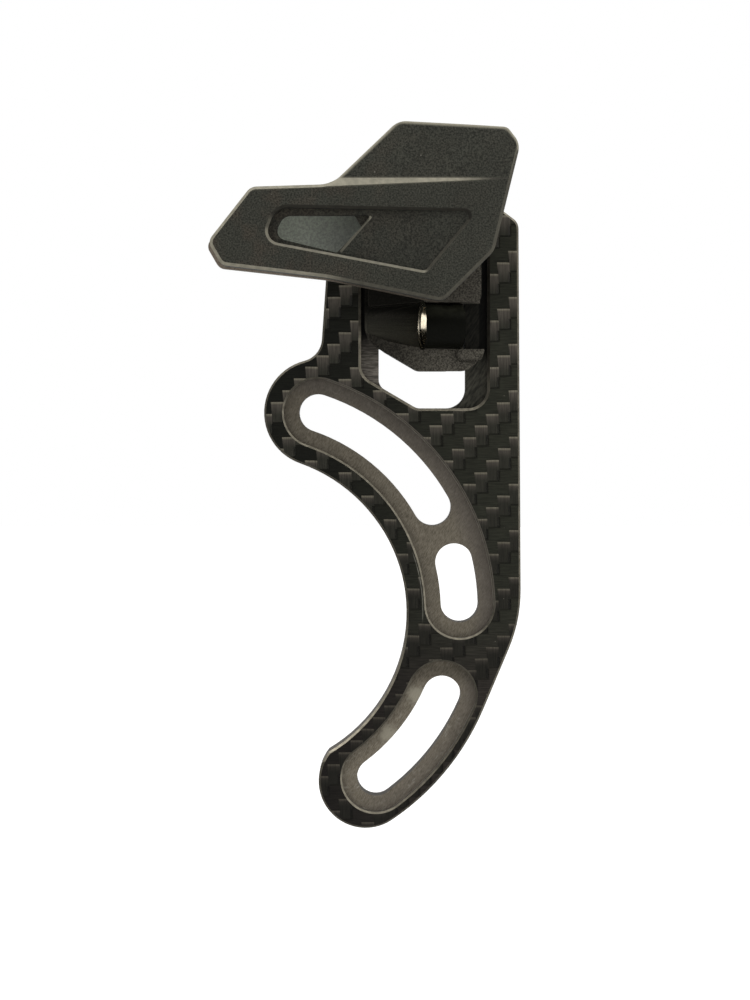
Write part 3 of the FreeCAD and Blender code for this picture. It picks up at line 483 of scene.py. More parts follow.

# %% Woven skin: level tows stay dark, upright ones get a painted sheen, palest at their upper end
TOW_SHADOW_TONE = (0.0045, 0.0042, 0.0026)
WARM_FOOT, COOL_TOP = (1.12, 0.97, 0.84), (1.0, 1.03, 0.75)
UPRIGHT_TONES = (0.0110, 0.0104, 0.0084), (0.028, 0.0275, 0.0215)  # low and high on the plate
UPPER_SHEEN_TONES = (0.0195, 0.0175, 0.0145), (0.078, 0.069, 0.058)
END_HIGHLIGHT_TONES = (0.056, 0.050, 0.040), (0.185, 0.170, 0.130)
weave = place_group(twill, X=x, Z=z)
depth_of_tone = ramp(x, 8.0, 44.0, 0.0060, 0.0205) + ramp(z, -34.0, 0.0, 0.0012, 0.0)
depth_of_tone = depth_of_tone * (noise(place, 0.12) * 0.5 + 0.75)
level_tone = scaled(mix(ramp(z, -16.0, 2.0), WARM_FOOT, COOL_TOP), depth_of_tone)
# Painted sheen on the upright tows: stronger high on the plate, weaker and shorter low down, with a painted
# highlight at each upper end
lift = ramp(z, -20.0, 46.0)
bright_part = ramp(z, 6.0, 50.0, 0.35, 1.0) * ramp(z, -20.0, 8.0, 0.1, 1.0)
pale_length = ramp(z, 18.0, 50.0, 0.44, 1.05)  # share of a tow that is pale
upright_tone = mix(lift, *UPRIGHT_TONES)
upright_tone = mix(fade(weave["Fall"], 0.03, pale_length), upright_tone, mix(bright_part, *UPPER_SHEEN_TONES))
upright_tone = mix(fade(weave["Fall"], 0.0, 0.15), upright_tone, mix(lift, *END_HIGHLIGHT_TONES))
woven = mix(weave["Upright"], level_tone, upright_tone)
# Painted shadow round each upright tow
woven = mix(weave["Shade"] * 0.75, woven, TOW_SHADOW_TONE)
woven = scaled(woven, ramp(weave["Fibre"], 0.28, 0.72, 0.66, 1.34))
print("woven skin from", len(weave), "outputs of the twill")

# %% Pads: crossed strokes of the cutter and a greyer outer side
PAD_TONES = (0.088, 0.076, 0.057), (0.172, 0.153, 0.120)
PAD_CROSSED, PAD_GREY = (0.150, 0.133, 0.103), (0.098, 0.087, 0.079)
strokes_up = place_group(
    tool_marks, Along=x * 0.50 + z * 0.87, Across=x * 0.87 - z * 0.50, Depth=y, Fineness=6.5, Stretch=0.22)
strokes_down = place_group(
    tool_marks, Along=x * 0.64 - z * 0.77, Across=x * 0.77 + z * 0.64, Depth=y, Fineness=5.5, Stretch=0.24)
pad = mix(strokes_up["Tint"], *PAD_TONES)
pad = mix(strokes_down["Tint"] * 0.45, pad, PAD_CROSSED)
outer_side = ramp(radius, 37.0, 40.8) * ramp(z, -20.0, -8.0, 0.30, 0.55)
pad = mix(outer_side, pad, PAD_GREY)
pad = scaled(pad, ramp(noise(place, 0.9, 3.0, 0.6), 0.30, 0.70, 0.92, 1.08))
lower_inside = fade(z, -12.0, -8.0) * fade(radius, 34.5, 36.5)
pad = scaled(pad, lower_inside * 0.12 + ramp(z, -20.0, -7.0, 1.10, 1.0))
head_of_lower_pad = ramp(z, -13.5, -10.8) * fade(z, -10.0, -9.0)
pad = scaled(pad, 1.0 - head_of_lower_pad * 0.30)
pad = scaled(pad, ramp(z, 22.0, 34.0, 1.0, 0.82))
print("pads have strokes in two directions")

# %% Pads: scuffs of the bolt heads and a painted highlight at the foot of the step
BOLT_CIRCLE = 36.0
BOLT_SCUFFS = ((28.4, -14.6), (23.7, -21.4))  # where a bolt head has turned on the lower pad
SCUFF_CREAM, LINE_CREAM, FOOT_HIGHLIGHT = (0.33, 0.31, 0.245), (0.30, 0.285, 0.245), (0.27, 0.250, 0.215)
ragged = noise(place, 1.3, 4.0, 0.65)
for head_x, head_z in BOLT_SCUFFS:
    off_x, off_z = x - head_x, z - head_z
    away = maths("SQRT", off_x * off_x + off_z * off_z)
    pad = mix(ramp(ragged * -2.4 + away, -0.6, 0.9, 0.62, 0.0), pad, SCUFF_CREAM)
scuff_lines = noise(join(direction * BOLT_CIRCLE * 0.5, radius, 3.0), 1.6, 4.0, 0.65)
pad = mix(ramp(scuff_lines, 0.55, 0.75) * ramp(z, -22.0, -12.0, 0.65, 0.10), pad, LINE_CREAM)
# Painted highlight: a pale line along the foot of the step
foot_highlight = band(radius, 41.78, 42.00, 0.04) * ramp(noise(place, 0.7), 0.35, 0.60, 0.50, 0.95)
pad = mix(foot_highlight, pad, FOOT_HIGHLIGHT)
print("scuffs at", BOLT_SCUFFS)

# %% Ledges: slanting strokes on the front ledge, level ones on the rear ledge, painted shade by the slider
FRONT_LEDGE_TONES = (0.016, 0.016, 0.013), (0.056, 0.054, 0.043)
REAR_LEDGE_TONES = (0.054, 0.049, 0.042), (0.125, 0.114, 0.098)
SLIT_SHADE = 0.78    # share of light that the slits beside the slider take
slanting = place_group(
    tool_marks, Along=x * 0.62 + z, Across=(x - z * 0.62) * 0.85, Depth=y, Fineness=3.0, Stretch=0.20)
level = place_group(tool_marks, Along=x, Across=z, Depth=y, Fineness=4.0, Stretch=0.12)
ledge_front = mix(slanting["Tint"], *FRONT_LEDGE_TONES)
# Painted shade: the front ledge darkens towards the top, beside the slider
ledge_front = scaled(ledge_front, ramp(z, 41.0, 46.0, 1.0, 0.36))
ledge_rear = mix(ramp(level["Height"], 0.42, 0.60), *REAR_LEDGE_TONES)
# Painted light and shade: the rear ledge is paler low down and darker towards the top, beside the slider
ledge_rear = scaled(ledge_rear, ramp(z, 40.5, 46.0, 1.60, 0.80))
ledge = mix(ramp(x, 27.0, 31.0), ledge_rear, ledge_front)
slit_front = ramp(x, 39.2, 39.5) * ramp(z, 43.5, 45.0)
slit_rear = ramp(x, 19.9, 20.4, 1.25, 0.0) * ramp(z, 45.0, 48.0)
ledge = scaled(ledge, 1.0 - maximum(slit_front, slit_rear) * SLIT_SHADE)
print("ledges fall dark in the slits beside the slider")

# %% Cut edges show the plies
PLY = 0.25  # mm, thickness of one ply
CUT_TONES = (0.046, 0.042, 0.037), (0.092, 0.084, 0.073)
CUT_GRIT = (0.150, 0.140, 0.122)
plies = maths("SINE", y * (2 * math.pi / PLY) + noise(place, 0.5) * 3.0)
gritty = noise(place, 6.0)
cut = mix(ramp(plies, -0.6, 0.6), *CUT_TONES)
cut = mix(ramp(gritty, 0.35, 0.75, 0.0, 0.45), cut, CUT_GRIT)
print("plies of", PLY, "mm on the cut edges")

# %% Painted highlight on the rims, and painted shade where something covers them
PLATE_RIM_HIGHLIGHT, SHADED_BRIM_TONE = (0.235, 0.215, 0.168), (0.110, 0.098, 0.086)
COVER_SHADE = 0.62   # share of light that the slider and the cage take from the rims
rims = place_group(painted_rim_light, Normal=normal, Least=0.30)
patchy = noise(place, 1.1, 3.0)
rim_highlight = scaled(PLATE_RIM_HIGHLIGHT, rims["Painted light"] * ramp(patchy, 0.25, 0.75, 0.70, 1.25))
# Painted shade on the rims beside the slider and along the right side
dim_rear = band(x, 18.4, 19.6, 0.1) * ramp(z, 47.2, 49.2)
dim_front = band(x, 40.2, 41.4, 0.1) * ramp(z, 39.0, 41.6)
dim_side = ramp(x, 45.0, 45.8) * 0.7
rim_highlight = scaled(rim_highlight, 1.0 - maximum(dim_rear, dim_front, dim_side) * COVER_SHADE)
# Painted highlight: the bay's rim is paler towards its bottom
bay_rim = band(radius, 26.5, 28.9, 0.05)
rim_highlight = scaled(rim_highlight, bay_rim * ramp(z, -12.0, 0.0, 1.5, 0.0) + 1.0)
# Painted shade on the pad's brim, stronger higher up
pad_brim = band(radius, 42.0, 42.5, 0.05)
rim_highlight = mix(pad_brim * ramp(z, -16.0, -12.0, 0.0, 0.7), rim_highlight, SHADED_BRIM_TONE)
on_front_rims = rims["Mask"] * fade(y, -1.4, -1.0)
print("rims of the outboard side only")

# %% The plate's zones come together
HAIR_LINE, PLATE_SPECK = (0.16, 0.155, 0.13), (0.28, 0.26, 0.22)
surface = mix(skin, cut, woven)
surface = mix(on_pads, surface, pad)
surface = mix(on_ledges, surface, ledge)
surface = mix(on_front_rims, surface, rim_highlight)
hair_line = band(radius, 29.52, 29.66, 0.05) * band(direction, -0.05, 0.33, 0.03)
surface = mix(hair_line * (front_skin * ramp(patchy, 0.35, 0.6, 0.5, 0.9)), surface, HAIR_LINE)
specks = place_group(dust, Vector=place, Spacing=1.5, Share=0.10)
surface = mix(specks["Mask"] * 0.40, surface, PLATE_SPECK)
put(shader.inputs["Base Color"], surface)
put(shader.inputs["Roughness"], ramp(skin, 0.0, 1.0, 0.62, 0.42) + weave["Upright"] * (skin * 0.06))
put(shader.inputs["Specular IOR Level"], 0.06)
height = weave["Height"] * skin + strokes_up["Height"] * (on_pads * 0.5) + gritty * 0.12
relief(shader, height, 0.08 * MM, 0.9)
give("backplate", carbon)
print("carbon plate has", len(carbon.node_tree.nodes), "shader nodes")

# %% [markdown]
# ## Moulded nylon
# The cage and the slider are moulded in glass-filled nylon. It is black when new and reads as a
# warm dark grey because its surface is a fine matte grain, the print of a spark-eroded mould.
# The outer wall and the roof have the finest grain and the slider a coarser one. The inner wall's rim is
# paler and browner, and its face is polished by the chain; the face's paler tone is a painted sheen that
# grows towards the rear. One function makes them all, so that the family resemblance stays, and a dress
# function adds what sets a piece apart.

# %% Function for the nylon finishes
NYLON_SPECK = (0.33, 0.31, 0.27)
# Pale edges on the nylon are partly wear and partly a painted edge highlight
WEAR_AND_HIGHLIGHT_PALER = 3.2     # worn nylon is this many times as pale


def nylon(name, tone, contrast, coarse, fine, depth, rough, specular, wear, speck_share, dress=None):
    """Grainy nylon of a mean tone; dress may change the colour by place and normal."""
    material, shader, place, normal = new_material(name)
    grain = place_group(moulded_grain, Vector=place, Coarse=coarse, Fine=fine)
    colour = scaled(tone, ramp(grain["Tint"], 0.0, 1.0, 1.0 - contrast, 1.0 + contrast))
    colour = scaled(colour, ramp(noise(place, 0.16, 3.0), 0.30, 0.70, 1.08, 0.92))
    if dress is not None:
        colour = dress(place, normal, colour)
    # Edges made paler: partly wear, partly a painted highlight
    worn = place_group(edge_wear, Radius=0.2 * MM, Softness=0.30, Vector=place)
    colour = mix(worn["Mask"] * wear, colour, tuple(min(1.0, WEAR_AND_HIGHLIGHT_PALER * v) for v in tone))
    specks = place_group(dust, Vector=place, Spacing=1.5, Share=speck_share)
    colour = mix(specks["Mask"] * 0.4, colour, NYLON_SPECK)
    put(shader.inputs["Base Color"], colour)
    put(shader.inputs["Roughness"], ramp(grain["Tint"], 0.0, 1.0, rough + 0.05, rough - 0.05))
    put(shader.inputs["Specular IOR Level"], specular)
    relief(shader, grain["Height"], depth, 0.8)
    print(name, "has", len(material.node_tree.nodes), "shader nodes")
    return material


print("worn nylon is", WEAR_AND_HIGHLIGHT_PALER, "times as pale as its face")

# %% Outer wall: brown bloom and a darker recess
OUTER_RIM_HIGHLIGHT = (0.290, 0.272, 0.212)
BROWNER = (1.22, 1.02, 0.98)
FACE_FRONT = (-23.4, -23.0)        # mm along Y: what stands in front of this is the outer face


def bloomed(place, normal, colour):
    """Brown bloom in clouds towards the rear, and less light in the recess and on the sides."""
    x, y, z = split(place)
    ny = split(normal)[1]
    bloom = ramp(noise(place, 0.24, 3.0), 0.42, 0.66) * ramp(x, 4.0, 34.0, 0.75, 0.12)
    colour = mix(bloom, colour, scaled(colour, 1.12))
    brown = make(colour.tree, "ShaderNodeVectorMath", {0: colour, 1: BROWNER}, operation="MULTIPLY")
    colour = mix(bloom, colour, brown)
    in_recess = ramp(y, -24.9, -24.6) * fade(z, 67.2, 68.0)
    colour = scaled(colour, 1.0 - in_recess * 0.14)
    return scaled(colour, 1.0 - fade(abs(ny), 0.20, 0.38) * 0.62)


print("bloom turns the tone by", BROWNER)

# %% Outer wall: painted highlight on the rims, all round the outline and on the upward ones of the recess
RECESS_MIDDLE = (19.0, 62.5)
RIDGE_END_FADE = (33.5, 41.5)      # mm along X in which the ridge runs out


def painted_rim_highlights(place, normal, colour):
    """The colour with its painted rim highlight, where the rims are, and how much of the ridge is left there.
    """
    x, y, z = split(place)
    nx, _, nz = split(normal)
    rims = place_group(painted_rim_light, Normal=normal, Least=0.12)
    outline = ramp((x - RECESS_MIDDLE[0]) * nx + (z - RECESS_MIDDLE[1]) * nz, -0.2, 0.2)
    # Painted shade on downward rims, growing along X where the plate stands behind them
    painted_plate_shade = fade(nz, -0.15, 0.0) * ramp(x, 10.5, 18.5, 0.0, 0.72)
    outline_pale = (1.0 - painted_plate_shade) * ramp(y, -23.75, -23.5, 0.86, 0.75)
    recess_pale = rims["Painted light"] * ramp(nx, -0.45, -0.10, 0.42, 0.62)
    ridge_fade = ramp(x, *RIDGE_END_FADE, 1.0, 0.12)
    on_ridge = ramp(z, 69.5, 69.9) * ramp(nz, 0.25, 0.40) * fade(abs(nx), 0.36, 0.46) * fade(z, 74.0, 75.0)
    pale = outline_pale * outline + recess_pale * (1.0 - outline)
    pale = pale * ramp(noise(place, 1.2, 3.0), 0.25, 0.75, 0.80, 1.10)
    pale = pale * (1.0 - on_ridge * (1.0 - ridge_fade))
    return mix(rims["Mask"], colour, scaled(OUTER_RIM_HIGHLIGHT, pale)), rims["Mask"], ridge_fade


print("rims have the tone", OUTER_RIM_HIGHLIGHT, "at their palest")

# %% Outer wall: painted highlight on the ridge, a little past both of its lines
RIDGE_REAR = (11.0, 70.1)          # rear end of the ridge's lower line
RIDGE_RISE, RIDGE_FALL = 0.042, -0.0038
RIDGE_HEIGHT = 1.6                 # mm between its two lines at the rear end


def ridge_highlight(place, colour, on_rims, ridge_fade):
    x, y, z = split(place)
    forward = x - RIDGE_REAR[0]
    over_low = z - (forward * RIDGE_RISE + RIDGE_REAR[1])
    over_high = forward * RIDGE_FALL + (RIDGE_REAR[1] + RIDGE_HEIGHT) - z
    # Painted highlight along the ridge, fading towards its front end
    halo = ramp(maths("MINIMUM", over_low, over_high), -0.32, 0.12)
    halo = halo * (ridge_fade * ramp(y, *FACE_FRONT, 0.45, 0.0)) * (1.0 - on_rims)
    return mix(halo, colour, tuple(0.8 * v for v in OUTER_RIM_HIGHLIGHT))


print("ridge starts at", RIDGE_REAR, "mm and is", RIDGE_HEIGHT, "mm high there")

# %% Outer wall: painted highlight on the panel's edge to the window, with a painted glint at its upper end
EDGE_WAY = (0.654, 0.757)          # direction of that edge in x and z
EDGE_POINT = (15.66, 59.96)        # a point on it
EDGE_FOOT = 55.63                  # where it starts, measured along its direction
EDGE_HIGHLIGHT_TONE = (0.105, 0.100, 0.078)


def panel_edge_highlight(place, normal, colour):
    x, y, z = split(place)
    ny = split(normal)[1]
    offset = EDGE_WAY[0] * EDGE_POINT[1] - EDGE_WAY[1] * EDGE_POINT[0]
    beyond = x * EDGE_WAY[1] + (z * -EDGE_WAY[0] + offset)
    along = x * EDGE_WAY[0] + (z * EDGE_WAY[1] - EDGE_FOOT)
    line = band(beyond, 0.0, 0.42, 0.07) * band(along, 0.0, 7.5, 0.1)
    line = line * (ramp(y, -24.6, -24.4) * ramp(abs(ny), 0.3, 0.5))
    # Painted highlight on the edge, with a brighter painted glint at its upper end
    return mix(line * 0.92, colour, scaled(EDGE_HIGHLIGHT_TONE, ramp(along, 6.3, 7.2, 1.0, 2.2)))


print("panel's edge runs through", EDGE_POINT, "mm")

# %% Outer wall: painted highlight along the set-back flange's border, found by distance
FLANGE_OUTLINE = ((14.35, 70.6), (25.1, 80.85), (42.6, 79.8), (44.7, 77.1), (40.5, 59.95))
FAR_INSIDE = -100.0


def flange_border_highlight(place, normal, colour):
    x, y, z = split(place)
    ny = split(normal)[1]
    beyond = FAR_INSIDE
    for (x0, z0), (x1, z1) in zip(FLANGE_OUTLINE, FLANGE_OUTLINE[1:]):
        length = math.hypot(x1 - x0, z1 - z0)
        out_x, out_z = (z0 - z1) / length, (x1 - x0) / length
        distance = x * out_x + (z * out_z - (out_x * x0 + out_z * z0))
        beyond = maths("SMOOTH_MAX", distance, beyond, 0.8)
    border = ramp(beyond, -0.62, -0.02) * ramp(abs(ny), 0.85, 0.95)
    on_flange = maximum(ramp(z, 70.2, 71.0), ramp(x, 36.0, 38.0) * ramp(z, 60.0, 61.5))
    border = border * on_flange * fade(y, *FACE_FRONT)
    # Painted highlight along the flange's border
    return mix(border, colour, tuple(1.15 * v for v in OUTER_RIM_HIGHLIGHT))


def dress_outer_wall(place, normal, colour):
    colour = bloomed(place, normal, colour)
    colour, on_rims, ridge_fade = painted_rim_highlights(place, normal, colour)
    colour = ridge_highlight(place, colour, on_rims, ridge_fade)
    colour = panel_edge_highlight(place, normal, colour)
    return flange_border_highlight(place, normal, colour)


print("flange border follows", len(FLANGE_OUTLINE), "corners")

# %% Slider: a darker front, and painted shade in the scoop towards its top and on the block's upper rear
SLIDER_FRONT = (-7.97, -7.90)      # mm along Y in which the block's front face ends
SCOOP_TONE, SCOOP_SHADOW_TONE = (0.034, 0.033, 0.026), (0.0030, 0.0030, 0.0022)
LIP_POINT, LIP_LEAN = (19.9, 47.9), 0.29


def dress_slider(place, normal, colour):
    x, y, z = split(place)
    on_front = fade(y, *SLIDER_FRONT)
    colour = scaled(colour, ramp(on_front, 0.0, 1.0, 1.05, 0.88))
    over_lip = x * LIP_LEAN + (z - (LIP_POINT[1] + LIP_LEAN * LIP_POINT[0]))
    in_scoop = (1.0 - on_front) * fade(x, 29.5, 29.7) * ramp(over_lip, -0.25, 0.35) * fade(z, 53.1, 53.3)
    # Painted shade: darker towards the rear, low on the slider
    colour = scaled(colour, 1.0 - ramp(x, 20.5, 33.5, 0.64, 0.0) * fade(z, 50.0, 51.0))
    # Painted light and shade in the scoop: pale low down, near black towards its top
    colour = mix(in_scoop * 0.85, colour, scaled(SCOOP_TONE, ramp(z, 46.0, 52.0, 2.3, 0.10)))
    # Painted shadow: a near-black patch on the block's upper rear, where the cage shades it
    shadowed_upper_rear = fade(x, 29.3, 29.7) * ramp(z, 50.6, 52.0) * ramp(z, 56.5, 59.0, 0.93, 0.0)
    return mix(shadowed_upper_rear, colour, SCOOP_SHADOW_TONE)


print("scoop's lip runs through", LIP_POINT, "mm")

# %% Inner wall: a painted sheen on the face, and painted shade on the rim where it faces down
def dress_face_sheen(place, normal, colour):
    # Painted sheen: the face is paler towards the rear
    return scaled(colour, ramp(split(place)[0], 8.5, 17.5, 1.75, 1.0))


def dress_inner_rim(place, normal, colour):
    # Painted shade on the rim where it faces down, growing along X
    painted_plate_shade = fade(split(normal)[2], -0.15, 0.0) * ramp(split(place)[0], 10.5, 18.5, 0.0, 0.55)
    return scaled(colour, 1.0 - painted_plate_shade)


print("inner wall has one dress for its face and one for its rim")

# %% The five nylon finishes
nylon_outer = nylon("nylon of the outer wall", (0.0300, 0.0304, 0.0240), 0.60, 3.6, 8.0,
                    0.00009, 0.66, 0.12, 0.15, 0.22, dress_outer_wall)
nylon_roof = nylon("nylon of the roof", (0.0310, 0.0315, 0.0248), 0.60, 3.6, 8.0,
                   0.00009, 0.66, 0.12, 0.35, 0.12)
# The chain face's pale tone is partly a painted sheen
nylon_face = nylon("polished nylon of the inner wall with painted sheen", (0.076, 0.083, 0.067), 0.28, 3.0, 8.0,
                   0.00003, 0.40, 0.6, 0.10, 0.12, dress_face_sheen)
nylon_inner = nylon("nylon of the inner wall", (0.125, 0.104, 0.080), 0.25, 2.6, 7.0,
                    0.00005, 0.60, 0.12, 0.20, 0.08, dress_inner_rim)
nylon_slider = nylon("nylon of the slider", (0.067, 0.062, 0.051), 0.62, 4.2, 9.0,
                     0.00010, 0.60, 0.03, 0.12, 0.08, dress_slider)

# %% [markdown]
# ## Metals
# Five metals show: bright turned steel on the barrel's ring, black anodising on the barrel
# itself, a dark anodised alloy on the keeper behind the plate, black oxide on the screws, and
# brass inserts. Turning leaves rings round an axis, anodising hides almost all of that, and
# black oxide is a thin satin skin that wears at edges.

# %% Function for the metal finishes
LINE_SHADE = 0.72    # tone in the lines of the tool, as a share of the tone between them


def metal(name, tone, worn_tone, rough, wear_share, fineness, metallic=1.0, specular=0.5, dress=None):
    """Metal of a tone with fine lines of the tool; dress may change the colour by place."""
    material, shader, place, _ = new_material(name)
    x, y, z = split(place)
    lines = place_group(tool_marks, Along=x + z, Across=y, Depth=x, Fineness=fineness, Stretch=0.2)
    worn = place_group(edge_wear, Radius=0.2 * MM, Softness=0.25, Vector=place)
    colour = mix(lines["Tint"], tuple(LINE_SHADE * v for v in tone), tone)
    if dress is not None:
        colour = dress(place, colour)
    put(shader.inputs["Base Color"], mix(worn["Mask"] * wear_share, colour, worn_tone))
    put(shader.inputs["Roughness"], ramp(lines["Tint"], 0.0, 1.0, rough + 0.05, rough - 0.04))
    put(shader.inputs["Metallic"], metallic)
    put(shader.inputs["Specular IOR Level"], specular)
    relief(shader, lines["Height"], 0.02 * MM, 0.5)
    print(name, "has", len(material.node_tree.nodes), "shader nodes")
    return material


def painted_top_sheen(place, colour):
    """A patchy painted sheen on the upper side of the barrel."""
    top_sheen = ramp(split(place)[2], 49.6, 52.4) * ramp(noise(place, 0.8, 3.0), 0.3, 0.7, 0.5, 1.0)
    return mix(top_sheen, colour, (0.0300, 0.0305, 0.0220))


print("lines of the tool have", LINE_SHADE, "of the tone between them")

# %% The five metal finishes
turned_steel = metal("turned steel", (0.93, 0.83, 0.64), (0.95, 0.90, 0.80), 0.20, 0.3, 6.0)
black_anodised = metal("black anodising", (0.0035, 0.0036, 0.0024), (0.012, 0.011, 0.008), 0.45, 0.2, 4.0,
                       0.0, 0.03, painted_top_sheen)
black_oxide = metal("black oxide steel", (0.055, 0.053, 0.050), (0.35, 0.33, 0.30), 0.36, 0.7, 5.0)
brass = metal("brass", (0.70, 0.50, 0.22), (0.85, 0.68, 0.40), 0.30, 0.5, 5.0)
keeper_alloy = metal("dark anodised alloy", (0.050, 0.050, 0.052), (0.45, 0.44, 0.42), 0.42, 0.5, 5.0,
                     0.0, 0.4)
give("lock_barrel", black_anodised)
give("keeper_plate", keeper_alloy)
give("cage_inserts", brass)

# %% [markdown]
# ## Soft edges on the moulded pieces
# No moulded edge is sharp: the mould's own corners are rounded, and handling rounds them more. A
# copy of each engineering mesh is merged, its flat areas are joined into single faces again, and
# a narrow bevel runs along every real edge. The copy then stands for the node, which stays in
# the model for collisions.

# %% Helpers for meshes that stand for a node
MERGE_DISTANCE = 2e-6


def linked(name, mesh):
    """New object in the scene."""
    piece = bpy.data.objects.new(name, mesh)
    bpy.context.scene.collection.objects.link(piece)
    return piece


def smooth_but_for(mesh, degrees):
    """Smooth shading, with edges marked sharp where faces meet at more than this angle."""
    for polygon in mesh.polygons:
        polygon.use_smooth = True
    mesh.set_sharp_from_angle(angle=math.radians(degrees))


def finished_mesh(piece):
    """The piece's modifiers become plain mesh."""
    depsgraph = bpy.context.evaluated_depsgraph_get()
    mesh = bpy.data.meshes.new_from_object(piece.evaluated_get(depsgraph))
    piece.modifiers.clear()
    piece.data = mesh
    mesh.name = piece.name
    return mesh


def stands_for(piece, body, node_name):
    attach(piece, body)
    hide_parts(node_name)


print("helpers for meshes are ready")

# %% Softened copies
SOFTENED_ANGLE = 28.0  # degrees between two faces, from which their edge is bevelled


def softened(node_name, body, material, width, segments=3):
    """Copy of a node with rounded edges, riding on its body and standing for the node."""
    mesh = nodes[node_name].data.copy()
    work = bmesh.new()
    work.from_mesh(mesh)
    bmesh.ops.remove_doubles(work, verts=work.verts, dist=MERGE_DISTANCE)
    bmesh.ops.dissolve_limit(work, angle_limit=math.radians(1.0), verts=work.verts, edges=work.edges,
                             delimit={"NORMAL"})
    work.to_mesh(mesh)
    work.free()
    mesh.materials.clear()
    mesh.materials.append(material)
    smooth_but_for(mesh, SOFTENED_ANGLE)
    piece = linked(node_name + "_soft", mesh)
    bevel = piece.modifiers.new("soft edges", "BEVEL")
    bevel.width = width
    bevel.segments = segments
    bevel.limit_method = "ANGLE"
    bevel.angle_limit = math.radians(SOFTENED_ANGLE)
    bevel.use_clamp_overlap = True
    bevel.harden_normals = True
    print(node_name, "softened:", len(finished_mesh(piece).polygons), "faces")
    stands_for(piece, body, node_name)
    return piece


softened("cage_outer", "cage", nylon_outer, 0.18 * MM)
inner_wall = softened("cage_inner", "cage", nylon_inner, 0.18 * MM)
softened("cage_roof", "cage", nylon_roof, 0.15 * MM)
softened("slider", "height_slider", nylon_slider, 0.15 * MM, 2)

# %% The inner wall: rim, polished face and rear side
CHAIN_FACE_Y = -13.5 * MM
REAR_SIDE_Y = -11.2 * MM
RIM, CHAIN_FACE, REAR_SIDE = 0, 1, 2
inner_wall.data.materials.append(nylon_face)
inner_wall.data.materials.append(nylon_roof)
for polygon in inner_wall.data.polygons:
    if polygon.normal.y < -0.95 and abs(polygon.center.y - CHAIN_FACE_Y) < 0.05 * MM:
        polygon.material_index = CHAIN_FACE
    elif polygon.normal.y > 0.95 or polygon.center.y > REAR_SIDE_Y:
        polygon.material_index = REAR_SIDE
finishes = [polygon.material_index for polygon in inner_wall.data.polygons]
for label, kind in (("rim", RIM), ("chain face", CHAIN_FACE), ("rear side", REAR_SIDE)):
    print("inner wall,", label, "has", finishes.count(kind), "faces")

# %% [markdown]
# ## The bright ring on the barrel
# The key enters the barrel through a turned steel ring. Seen nearly from its side it shows only a
# thin bright lip, a dark groove and the gold shine of its cone, so its profile is worth drawing
# point by point. A profile turned round an axis is the natural way to make it. Each stretch of
# the profile may have its own finish, which is easier than masks in one material.

# %% Profile of the ring
RING_HEAD = Vector((29.65, -5.387, 49.0)) * MM  # middle of the barrel's socket end
RING_AXIS = Vector((-0.9848, -0.1736, 0.0)).normalized()
RING_FLANGE = 0.2    # mm, thickness of the flange in front of the head
RING_PROFILE = (     # radius and depth behind the front face in mm, and finish: 0 black, 1 steel
    (4.15, 0.20, 0), (4.15, 0.03, 0), (4.10, 0.00, 0), (3.78, 0.00, 1), (3.52, 0.22, 0), (3.36, 0.24, 0),
    (3.34, 0.42, 1), (2.85, 1.30, 1), (2.85, 1.70, 0), (3.50, 1.70, 0), (3.50, 0.20, 0))
RING_STEPS = 72
print("ring profile of", len(RING_PROFILE), "points")

# %% Ring turned from its profile
def turned_ring():
    front = RING_HEAD + RING_AXIS * (RING_FLANGE * MM)
    upward = Vector((0.0, 0.0, 1.0))
    side = upward.cross(RING_AXIS)
    corners = []
    faces = []
    count = len(RING_PROFILE)
    for step in range(RING_STEPS):
        angle = 2.0 * math.pi * step / RING_STEPS
        spoke = side * math.cos(angle) + upward * math.sin(angle)
        for radius_mm, depth_mm, _ in RING_PROFILE:
            corners.append(front - RING_AXIS * (depth_mm * MM) + spoke * (radius_mm * MM))
        here, after = step * count, ((step + 1) % RING_STEPS) * count
        for k in range(count):
            n = (k + 1) % count
            faces.append((here + k, here + n, after + n, after + k))
    mesh = bpy.data.meshes.new("ring_turned")
    mesh.from_pydata(corners, [], faces)
    mesh.materials.append(black_anodised)
    mesh.materials.append(turned_steel)
    for polygon in mesh.polygons:
        polygon.material_index = RING_PROFILE[polygon.index % count][2]
    work = bmesh.new()
    work.from_mesh(mesh)
    bmesh.ops.recalc_face_normals(work, faces=work.faces)
    work.to_mesh(mesh)
    work.free()
    smooth_but_for(mesh, 25.0)
    print("ring turned with", len(mesh.polygons), "faces")
    return linked("ring_turned", mesh)


ring = turned_ring()
stands_for(ring, "barrel", "barrel_ring")

# %% [markdown]
# ## Screws
# Identical fasteners repeat, so they are grown by a node tree: a flat-headed screw is a cone on
# a cylinder with a six-sided socket cut in. The points that carry them come from the engineering
# model, so a screw sits where its hole is. Modelling five screws by hand would give the same
# shapes, but each would be a chance to err.

# %% Node tree for the screws
SCREW_INPUTS = {
    "Head Radius": 0.0027, "Shank Radius": 0.0015, "Length": 0.0127,
    "Socket Radius": 0.00115, "Socket Depth": 0.0012}
HEAD_SIDES = 48
SOCKET_SIDES = 6
OVERLAP = 0.02 * MM  # by which the shank enters the head, so that the two join


